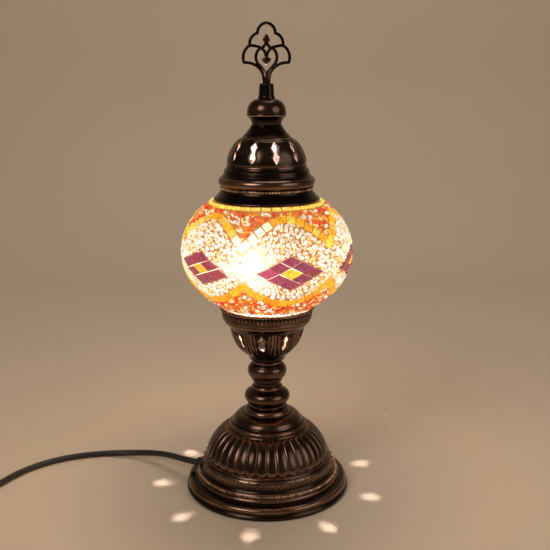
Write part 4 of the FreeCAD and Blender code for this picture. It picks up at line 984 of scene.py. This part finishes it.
def glass_tile(shape, turn, rise, corners, lean, tint, glow):
    """A hand-cut flat tile with softened edges and a faintly uneven face."""
    place, axes = facet(turn, rise)
    axes = spun(axes, lean)
    tilt = dice.normal(0, HAND_SET, 2)
    cut = np.array(corners) + dice.normal(0, HAND_CUT, (4, 2))
    u, v = np.meshgrid(TILE_STEPS, TILE_STEPS)
    shares = np.stack([(1 - u) * (1 - v), u * (1 - v), u * v, (1 - u) * v], -1)
    flat = shares @ cut
    rim = np.minimum(np.minimum(u, 1 - u), np.minimum(v, 1 - v))
    height = TILE_HEIGHT + TILE_SWELL * np.sqrt(np.clip(rim / TILE_RIM, 0, 1))
    height += dice.normal(0, HAND_SET, u.shape) + flat @ tilt
    height = np.clip(height, 0.5, 1.75)
    count = len(TILE_STEPS)
    top = np.concatenate([flat, height[..., None]], -1).reshape(-1, 3)
    edge = list(range(count)) + [i * count + count - 1 for i in range(1, count)]
    edge += [(count - 1) * count + j for j in range(count - 2, -1, -1)]
    edge += [i * count for i in range(count - 2, 0, -1)]
    foot = top[edge] * (1, 1, 0) - (0, 0, TILE_DEPTH)
    local = np.concatenate([top, foot])
    faces = sheet_faces(count, count, False, False)
    base = count * count
    for k, corner in enumerate(edge):
        after = (k + 1) % len(edge)
        faces.append((corner, base + k, base + after, edge[after]))
    shape.add(place + local @ axes, faces, tint=np.array(tint), glow=glow)


def varied(colour, spread=0.08):
    return np.clip(np.array(colour) * (1 + dice.normal(0, spread, 3)), 0, 1)


# the palest tint is painted light: it goes on upper-band tiles under the bulb's hot spot
PLUM, AMBER, HOT_SPOT_PALE = (0.38, 0.072, 0.105), (1.0, 0.50, 0.04), (1.0, 0.92, 0.68)
YELLOW, HONEY, ORANGE = (1.0, 0.66, 0.10), (1.0, 0.45, 0.02), (0.97, 0.33, 0.012)


def make_lozenges(glass):
    border, middle = Shape(), Shape()
    length, height = LOZENGE_SIZE[0] / 6, LOZENGE_SIZE[1] / 6
    wide, tall = 0.95 * length, 0.94 * height
    rhomb = [(wide, 0), (0, tall), (-wide, 0), (0, -tall)]
    for centre, lean in LOZENGES:
        lean = math.radians(lean)
        for first, second in product((-1, 0, 1), repeat=2):
            along, up = leaning((first + second) * length, (first - second) * height, -lean)
            turn, rise = math.radians(centre) + along / GROUT_RADIUS, LOZENGE_RISE + up
            central = first == second == 0
            # painted light: each tile glows with the bulb's light as emission, the lozenge centres
            # brighter
            glass_tile(middle if central else border, turn, rise, rhomb, lean,
                       varied(AMBER if central else PLUM),
                       painted_bulb_light(turn, rise) * (1.1 if central else 0.8))
    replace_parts(border.build("lozenges_plum", "globe", "plum_glass", [glass]), "lozenge_tiles")
    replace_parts(middle.build("lozenges_amber", "globe", "amber_glass", [glass]),
                "lozenge_centres")


def cusps():
    middles = [centre for centre, _ in LOZENGES] + [LOZENGES[0][0] + 360]
    first = (LOZENGES[-1][0] - 360 + LOZENGES[0][0]) / 2
    return [first] + [(a + b) / 2 for a, b in zip(middles, middles[1:])]


CUSPS = cusps()


def band_rise(turn, band):
    """Height over the middle of a scalloped band; its cusps lie between the lozenges."""
    degrees = CUSPS[0] + (math.degrees(turn) - CUSPS[0]) % 360
    low = max(edge for edge in CUSPS if edge <= degrees)
    high = min((edge for edge in CUSPS if edge > degrees), default=CUSPS[-1])
    share = (degrees - low) / max(high - low, 1e-6)
    return band[0] + band[1] * abs(math.sin(math.pi * share)) ** 0.8


def band_walk(band, steps=7200):
    """Angles, heights and lengths of close places along a band."""
    start = math.radians(CUSPS[0]) + 1e-6
    turns = start + np.arange(steps) * math.tau / steps
    rises = np.array([band_rise(turn, band) for turn in turns])
    level = radius_at(rises)[1:]
    step = np.hypot(level * np.diff(turns), np.diff(rises))
    return turns, rises, np.r_[0, np.cumsum(step)]


def make_band(name, node, slot_name, band, tints, glass):
    turns, rises, length = band_walk(band)
    count = int(length[-1] / (BAND_TILE + BAND_GAP))
    half = BAND_TILE / 2
    shape = Shape()
    for number in range(count):
        index = int(np.searchsorted(length, length[-1] * (number + 0.5) / count))
        turn, rise = turns[index], rises[index]
        ahead, behind = (index + SLOPE_REACH) % len(turns), index - SLOPE_REACH
        sweep = (turns[ahead] - turns[behind]) % math.tau
        slope = math.atan2(rises[ahead] - rises[behind], float(radius_at(rise)) * sweep)
        corners = [(x * half, y * half * 0.97) for x, y in ((1, 1), (-1, 1), (-1, -1), (1, -1))]
        # painted light: upper-band tiles under the bulb's hot spot get the palest tint, as if blown
        # out
        pale = band is UPPER_BAND and math.radians(-22) < turn < math.radians(6)
        tint = HOT_SPOT_PALE if pale else tints[dice.integers(len(tints))]
        # painted light: the tile glows with the bulb's light as emission, strongest near the hot spot
        glass_tile(shape, turn, rise, corners, slope + dice.normal(0, 0.03), varied(tint, 0.05),
                   painted_bulb_light(turn, rise) * dice.uniform(0.95, 1.25))
    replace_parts(shape.build(name, "globe", slot_name, [glass]), node)


def make_rim_tiles(glass):
    shape = Shape()
    count = 36
    for number in range(count):
        turn = math.tau * number / count
        corners = [(3.1, 1.6), (-3.1, 1.6), (-3.1, -0.5), (3.1, -0.5)]
        # painted light: the rim tiles glow brightly as emission, as if lit by the bulb
        glass_tile(shape, turn, RIM_RISE, corners, dice.normal(0, 0.02), varied(YELLOW, 0.05),
                   dice.uniform(1.3, 1.6))
    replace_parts(shape.build("rim_row", "globe", "yellow_glass", [glass]), "rim_tiles")


def make_grout(grout):
    """The grout's outer skin, slightly lumpy, over its plain inner side."""
    low, high = [corner.z / MM - GLOBE_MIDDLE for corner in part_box("grout_layer")]
    rises = np.linspace(low, high, 110)
    turns = np.arange(420) * math.tau / 420
    lumps = dice.normal(0, 0.07, (len(rises), len(turns)))
    lumps[[0, -1]] = 0
    radius = radius_at(rises)[:, None] + lumps - 0.12
    outer = round_place(radius, turns[None, :], GLOBE_MIDDLE + rises[:, None])
    thin = (GROUT_RADIUS - 1.1) / GROUT_RADIUS
    inner = round_place(radius_at(rises)[::-1, None] * thin, turns[None, :],
                        GLOBE_MIDDLE + rises[::-1, None])
    # painted light: the grout glows with the bulb's light as emission, more behind the lozenges
    glow = [painted_bulb_light(turn, rise) * (1.1 if in_lozenge(turn, rise, -0.5) else 0.5)
            for rise in rises for turn in turns]
    shape = Shape()
    shape.add(np.concatenate([outer, inner]), sheet_faces(2 * len(rises), len(turns), True, True),
              glow=np.array(glow + glow[::-1]))
    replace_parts(shape.build("grout_skin", "globe", "grout", [grout]), "grout_layer")


def ring_template(major=12, minor=8, hole=0.34):
    """A unit seed bead: a fat ring with a small hole, flatter than it is wide."""
    angle, section = (np.arange(n) * math.tau / n for n in (major, minor))
    middle, thick = (1 + hole) / 2, (1 - hole) / 2
    wide = middle + thick * np.cos(section)[None, :]
    points = np.stack(np.broadcast_arrays(
        wide * np.cos(angle)[:, None], wide * np.sin(angle)[:, None],
        0.62 * np.sin(section)[None, :]), -1)
    return points.reshape(-1, 3), sheet_faces(major, minor, True, True)


def bugle_template(sides=8):
    """A unit bugle bead lying along its first axis: a tube with softened, open ends."""
    rings = ((-0.86, 0.45), (-1.0, 0.5), (-1.0, 0.86), (-0.92, 1.0), (0.92, 1.0), (1.0, 0.86),
             (1.0, 0.5), (0.86, 0.45))
    angle = np.arange(sides) * math.tau / sides
    points = [(x, r * math.cos(a), r * math.sin(a)) for x, r in rings for a in angle]
    return np.array(points), sheet_faces(len(rings), sides, True, True)


def chip_template():
    """A unit flake of crushed glass: an uneven block with softened top edges."""
    plan = [(-1, -0.8), (0.7, -1), (1, 0.5), (-0.4, 1)]
    rings = ((1.0, -0.6), (1.0, 0.35), (0.78, 0.9))
    points = [(x * share, y * share, z) for share, z in rings for x, y in plan]
    faces = sheet_faces(3, 4, False, True) + [(8, 9, 10, 11)]
    return np.array(points, float), faces


CLEAR_TINTS = [(1.0, 0.97, 0.90), (1.0, 0.94, 0.82), (1.0, 0.88, 0.68), (1.0, 0.77, 0.45)]
WARM_TINTS = [(0.90, 0.10, 0.015), (0.80, 0.045, 0.02), (0.95, 0.22, 0.02), (1.0, 0.42, 0.05),
              (1.0, 0.70, 0.28), (1.0, 0.88, 0.62)]
WARM_SHARES = [0.27, 0.14, 0.25, 0.16, 0.10, 0.08]


def in_lozenge(turn, rise, spare):
    for centre, lean in LOZENGES:
        away = (turn - math.radians(centre) + math.pi) % math.tau - math.pi
        along, up = leaning(away * GROUT_RADIUS, rise - LOZENGE_RISE, math.radians(lean))
        if abs(along) / (LOZENGE_SIZE[0] / 2 + 2 * spare) \
                + abs(up) / (LOZENGE_SIZE[1] / 2 + spare) < 1:
            return True
    return False


class Crowd:
    """Places already taken on the globe, so that nothing overlaps."""

    def __init__(self, cell=4.0):
        self.cell, self.held = cell, {}

    def key(self, place):
        return tuple(int(length // self.cell) for length in place)

    def free(self, place, size):
        x, y, z = self.key(place)
        for dx, dy, dz in product((-1, 0, 1), repeat=3):
            for other, extent in self.held.get((x + dx, y + dy, z + dz), ()):
                if math.dist(place, other) < size + extent:
                    return False
        return True

    def take(self, place, size):
        self.held.setdefault(self.key(place), []).append((tuple(place), size))


def band_tree():
    """Search tree of both bands' middle lines, to keep beads off their tiles."""
    places = []
    for band in (UPPER_BAND, LOWER_BAND):
        turns, rises, _ = band_walk(band, 1800)
        places += [round_place(radius_at(rise), turn, rise)
                   for turn, rise in zip(turns, rises)]
    tree = kdtree.KDTree(len(places))
    for index, place in enumerate(places):
        tree.insert(place, index)
    tree.balance()
    return tree


# kind, template, throws, smallest and largest size, height of its middle over the grout
BEAD_KINDS = [
    ("ring", ring_template(), 9000, 1.35, 1.6, 0.55),
    ("bugle", bugle_template(), 12000, 1.5, 2.7, 0.5),
    ("chip", chip_template(), 14000, 0.55, 1.0, 0.35),
]
BUGLE_RADIUS = 0.72
BEAD_GAP = 0.2
RINGS_LEFT_OUT = 0.93
STRAYS = 0.04
WHITE_RINGS = 0.9
FOOT_ROW_RISE = -40.2


def bead_shape(kind, size):
    """Places along its length that it needs free, how much round them, and its three sizes."""
    if kind == "ring":
        return (0,), size, (size, size, size)
    if kind == "bugle":
        return (-0.62, 0, 0.62), BUGLE_RADIUS, (size, BUGLE_RADIUS, BUGLE_RADIUS)
    return (0,), size * 0.8, (size * 1.25, size * 0.8, 0.8)


def make_beads(glass):
    """Seed beads, bugle beads and chips, thrown one by one into what the tiles leave free."""
    clear, warm = Shape(), Shape()
    tree, crowd = band_tree(), Crowd()
    for kind, (points, faces), throws, smallest, largest, lift in BEAD_KINDS:
        for _ in range(throws):
            turn = dice.uniform(0, math.tau)
            rise = GROUT_RISE * dice.uniform(-0.835, 0.71)
            lean = dice.uniform(0, math.pi)
            field = band_rise(turn, LOWER_BAND) < rise < band_rise(turn, UPPER_BAND)
            size = dice.uniform(smallest, largest)
            if kind == "ring" and not field and dice.random() < RINGS_LEFT_OUT:
                continue
            discs, extent, stretch = bead_shape(kind, size)
            place, axes = facet(turn, rise)
            axes = spun(axes, lean)
            spots = [place + axes[0] * size * disc for disc in discs]
            local = [spot - (0, 0, GLOBE_MIDDLE) for spot in spots]
            if min(tree.find(spot)[2] for spot in local) < BAND_TILE / 2 + BEAD_GAP + extent:
                continue
            if any(in_lozenge(turn, spot[2], extent + BEAD_GAP) for spot in local):
                continue
            if not all(crowd.free(spot, extent) for spot in spots):
                continue
            for spot in spots:
                crowd.take(spot, extent)
            white = field if dice.random() > STRAYS else not field
            white = white or (kind == "ring" and dice.random() < WHITE_RINGS)
            # painted light: clear beads turn more amber away from the bulb's painted hot spot
            tint = painted_falloff_tint(CLEAR_TINTS[dice.integers(4)], turn, rise) if white else WARM_TINTS[
                dice.choice(6, p=WARM_SHARES)]
            # painted light: each bead glows with the bulb's light as emission, strongest near the hot
            # spot
            glow = painted_bulb_light(turn, rise) * dice.uniform(0.8, 1.15)
            tipped = axes + dice.normal(0, 0.06, (3, 3))
            (clear if white else warm).add(
                place + axes[2] * lift + (points * stretch) @ tipped, faces,
                tint=varied(tint, 0.03), glow=glow)
    add_foot_row(clear)
    clear.build("beads_clear", "globe", "clear_glass", [glass], weld=False)
    warm.build("beads_warm", "globe", "orange_glass", [glass], weld=False)


def add_foot_row(shape):
    """A row of seed beads close above the cup."""
    count = 60
    points, faces = ring_template()
    for number in range(count):
        place, axes = facet(math.tau * number / count, FOOT_ROW_RISE)
        # painted light: the beads of this row glow as emission, as if lit by the bulb
        shape.add(place + axes[2] * 0.5 + (points * 1.5) @ axes, faces,
                  tint=varied(WARM_TINTS[dice.integers(3, 5)], 0.03),
                  glow=dice.uniform(0.7, 0.95))


# ---------------------------------------------------------------- small pieces of the lead

def make_strap():
    """The tie round the coil: a woven strap with rounded corners and softened edges."""
    low, high = (np.array(corner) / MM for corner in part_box("coil_tie"))
    middle = (low + high) / 2
    half_wide, half_thick, corner, steps = 4.0, 0.35, 3.0, 6
    reach_x, _, reach_z = (high - low) / 2 - half_thick - corner
    path = []
    for way_x, way_z, start in ((1, 1, 0), (-1, 1, 90), (-1, -1, 180), (1, -1, 270)):
        for k in range(steps + 1):
            turn = math.radians(start + 90 * k / steps)
            nx, nz = math.cos(turn), math.sin(turn)
            path.append((way_x * reach_x + corner * nx, way_z * reach_z + corner * nz, nx, nz))
    inset = half_wide - 0.3
    section = [(-half_wide, -0.2), (-half_wide, 0.15), (-inset, half_thick), (inset, half_thick),
               (half_wide, 0.15), (half_wide, -0.2), (inset, -half_thick), (-inset, -half_thick)]
    points = [middle + (x + nx * out, side, z + nz * out)
              for x, z, nx, nz in path for side, out in section]
    shape = Shape()
    shape.add(points, sheet_faces(len(path), len(section), True, True))
    strap = shape.build("coil_strap", "stand", "tie_black", [woven("woven_strap")])
    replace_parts(strap, "coil_tie")


# ---------------------------------------------------------------- CAD nodes that stay

def dress_nodes():
    """A procedural material on every CAD node that is shown."""
    wanted = {
        felt("felt_green"): ["felt_pad"],
        cast_iron("ballast_iron"): ["base_weight"],
        plain_metal("zinc_steel", (0.42, 0.42, 0.43), (0.62, 0.62, 0.63), 0.34): [
            "base_plate", "ballast_screws", "threaded_rod", "rod_washer", "rod_nut", "cup_nut",
            "stud_nut", "finial_stud", "switch_screws", "rocker_pin"],
        plain_metal("spring_steel_strip", (0.16, 0.16, 0.17), (0.32, 0.32, 0.34), 0.3,
                    (1, 1, 6)): ["spring_clips"],
        plain_metal("contact_brass_bright", (0.60, 0.42, 0.18), (0.80, 0.62, 0.30), 0.26): [
            "screw_shell", "centre_contact", "terminal_screws", "switch_contacts", "plug_pins"],
        plain_metal("bulb_cap_metal", (0.62, 0.62, 0.63), (0.80, 0.80, 0.80), 0.3, (1, 1, 8)): [
            "bulb_tip", "bulb_cap"],
        moulded("holder_bakelite", (0.018, 0.016, 0.015), 0.25): ["holder_base", "holder_sleeve"],
        moulded("switch_moulding", (0.02, 0.02, 0.02), 0.3): ["switch_base", "switch_cover"],
        moulded("rocker_moulding", (0.03, 0.03, 0.03), 0.22): ["switch_rocker"],
        moulded("plug_moulding", (0.016, 0.016, 0.016), 0.45): ["plug_body"],
        moulded("grommet_rubber", (0.013, 0.013, 0.013), 0.6): ["cup_seat_ring", "strain_relief"],
        moulded("porcelain", (0.78, 0.76, 0.70), 0.35): ["holder_insert"],
        moulded("vitrite", (0.02, 0.02, 0.025), 0.15): ["bulb_insulator"],
        sheath("inner_sheath"): ["inner_cable", "inner_wires"],
        blown_glass("globe_glass", 0.03): ["glass_globe"],
        blown_glass("stem_glass", 0.02): ["bulb_stem"],
        bulb_opal("bulb_glow"): ["bulb_glass", "bulb_filaments"],
    }
    for material, names in wanted.items():
        for name in names:
            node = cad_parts[name]
            if not node.material_slots:
                node.data.materials.append(material)
            for place in node.material_slots:
                place.material = material


# ---------------------------------------------------------------- studio

def studio_surface(name, colour):
    paint = Paint(name, Roughness=0.75)
    paint.colour(paint.noise(6), colour, [channel * 1.05 for channel in colour])
    return paint.material


def make_stage():
    """A pale floor that curves up into a pale wall well behind the lamp."""
    across, depth, bend, height = 3.0, 1.0, 0.35, 2.2
    profile = [(-5.0, 0.0), (depth - bend, 0.0)]
    profile += [(depth - bend + bend * math.sin(math.radians(a)),
                 bend - bend * math.cos(math.radians(a))) for a in range(6, 91, 6)]
    profile.append((depth, height))
    points = [(x, y, z) for y, z in profile for x in (-across, across)]
    data = bpy.data.meshes.new("stage")
    data.from_pydata(points, [], sheet_faces(len(profile), 2, False, False))
    data.polygons.foreach_set("use_smooth", [True] * len(data.polygons))
    data.materials.append(studio_surface("pale_stage", (0.68, 0.57, 0.45)))
    stage = placed("stage", data)


def area_light(name, place, target, size, power, colour):
    data = bpy.data.lights.new(name, "AREA")
    data.shape, data.size, data.energy, data.color = "DISK", size, power, colour
    light = placed(name, data)
    light.location = place
    way = np.array(target) - np.array(place)
    light.rotation_euler = (math.acos(-way[2] / np.linalg.norm(way)), 0,
                            math.atan2(-way[0], way[1]))


BULB_LIGHT_DEPTH = 0.0225


def bulb_light(name, power, colour, radius, blockers):
    """A light at the bulb; only the blockers cast its shadows."""
    low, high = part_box("bulb_glass")
    data = bpy.data.lights.new(name, "POINT")
    data.energy, data.color, data.shadow_soft_size = power, colour, radius
    light = placed(name, data)
    light.location = ((low.x + high.x) / 2, (low.y + high.y) / 2, high.z - BULB_LIGHT_DEPTH)
    light.light_linking.blocker_collection = bpy.data.collections.new(name + "_blockers")
    for piece in blockers:
        light.light_linking.blocker_collection.objects.link(piece)
    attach(light, "bulb_carrier")


def make_lights():
    area_light("key", (-0.9, -1.1, 1.25), (0, 0, 0.15), 0.9, 8, (1.0, 0.93, 0.84))
    area_light("fill", (1.2, -0.7, 0.8), (0, 0, 0.15), 1.1, 3.5, (1.0, 0.95, 0.9))
    area_light("top", (0.1, 0.35, 1.4), (0, 0, 0.1), 0.8, 3.5, (1.0, 0.92, 0.84))
    metal = [bpy.data.objects[name] for name in (
        "base_casting", "cup_casting", "cap_casting", "cap_knob_turned",
        "lower_baluster_turned", "upper_baluster_turned")]
    inside = [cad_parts[name] for name in ("cup_seat_ring", "holder_sleeve")]
    bulb_light("bulb_through_globe", 1.1, (1.0, 0.62, 0.32), 0.02, metal)
    bulb_light("bulb_direct", 2.6, (1.0, 0.82, 0.76), 0.0016,
               metal + inside + [bpy.data.objects["grout_skin"]])
    world = bpy.data.worlds.new("room")
    world.use_nodes = True
    background = world.node_tree.nodes["Background"]
    background.inputs["Color"].default_value = rgb(0.90, 0.74, 0.58)
    background.inputs["Strength"].default_value = 0.13
    bpy.context.scene.world = world
    bpy.context.scene.view_settings.view_transform = "Standard"


# ---------------------------------------------------------------- make it

make_camera()
make_strap()
make_lead()
dress_nodes()
copper_paint = antique_copper("antique_copper_metal")
glass_paint = lit_glass("lit_glass", 0.12, 0.35)
make_base(copper_paint)
make_turned_pieces(copper_paint)
make_pierced_pieces(copper_paint)
make_rings(rubbed_copper("rubbed_copper_metal"))
make_finial(copper_paint)
make_lozenges(glass_paint)
make_band("band_upper", "upper_band_tiles", "yellow_glass", UPPER_BAND, (YELLOW, HONEY),
          glass_paint)
make_band("band_lower", "lower_band_tiles", "orange_glass", LOWER_BAND, (HONEY, ORANGE),
          glass_paint)
make_rim_tiles(glass_paint)
make_grout(lit_grout("lit_grout"))
make_beads(lit_glass("bead_glass", 0.08, 0.1))
make_stage()
make_lights()
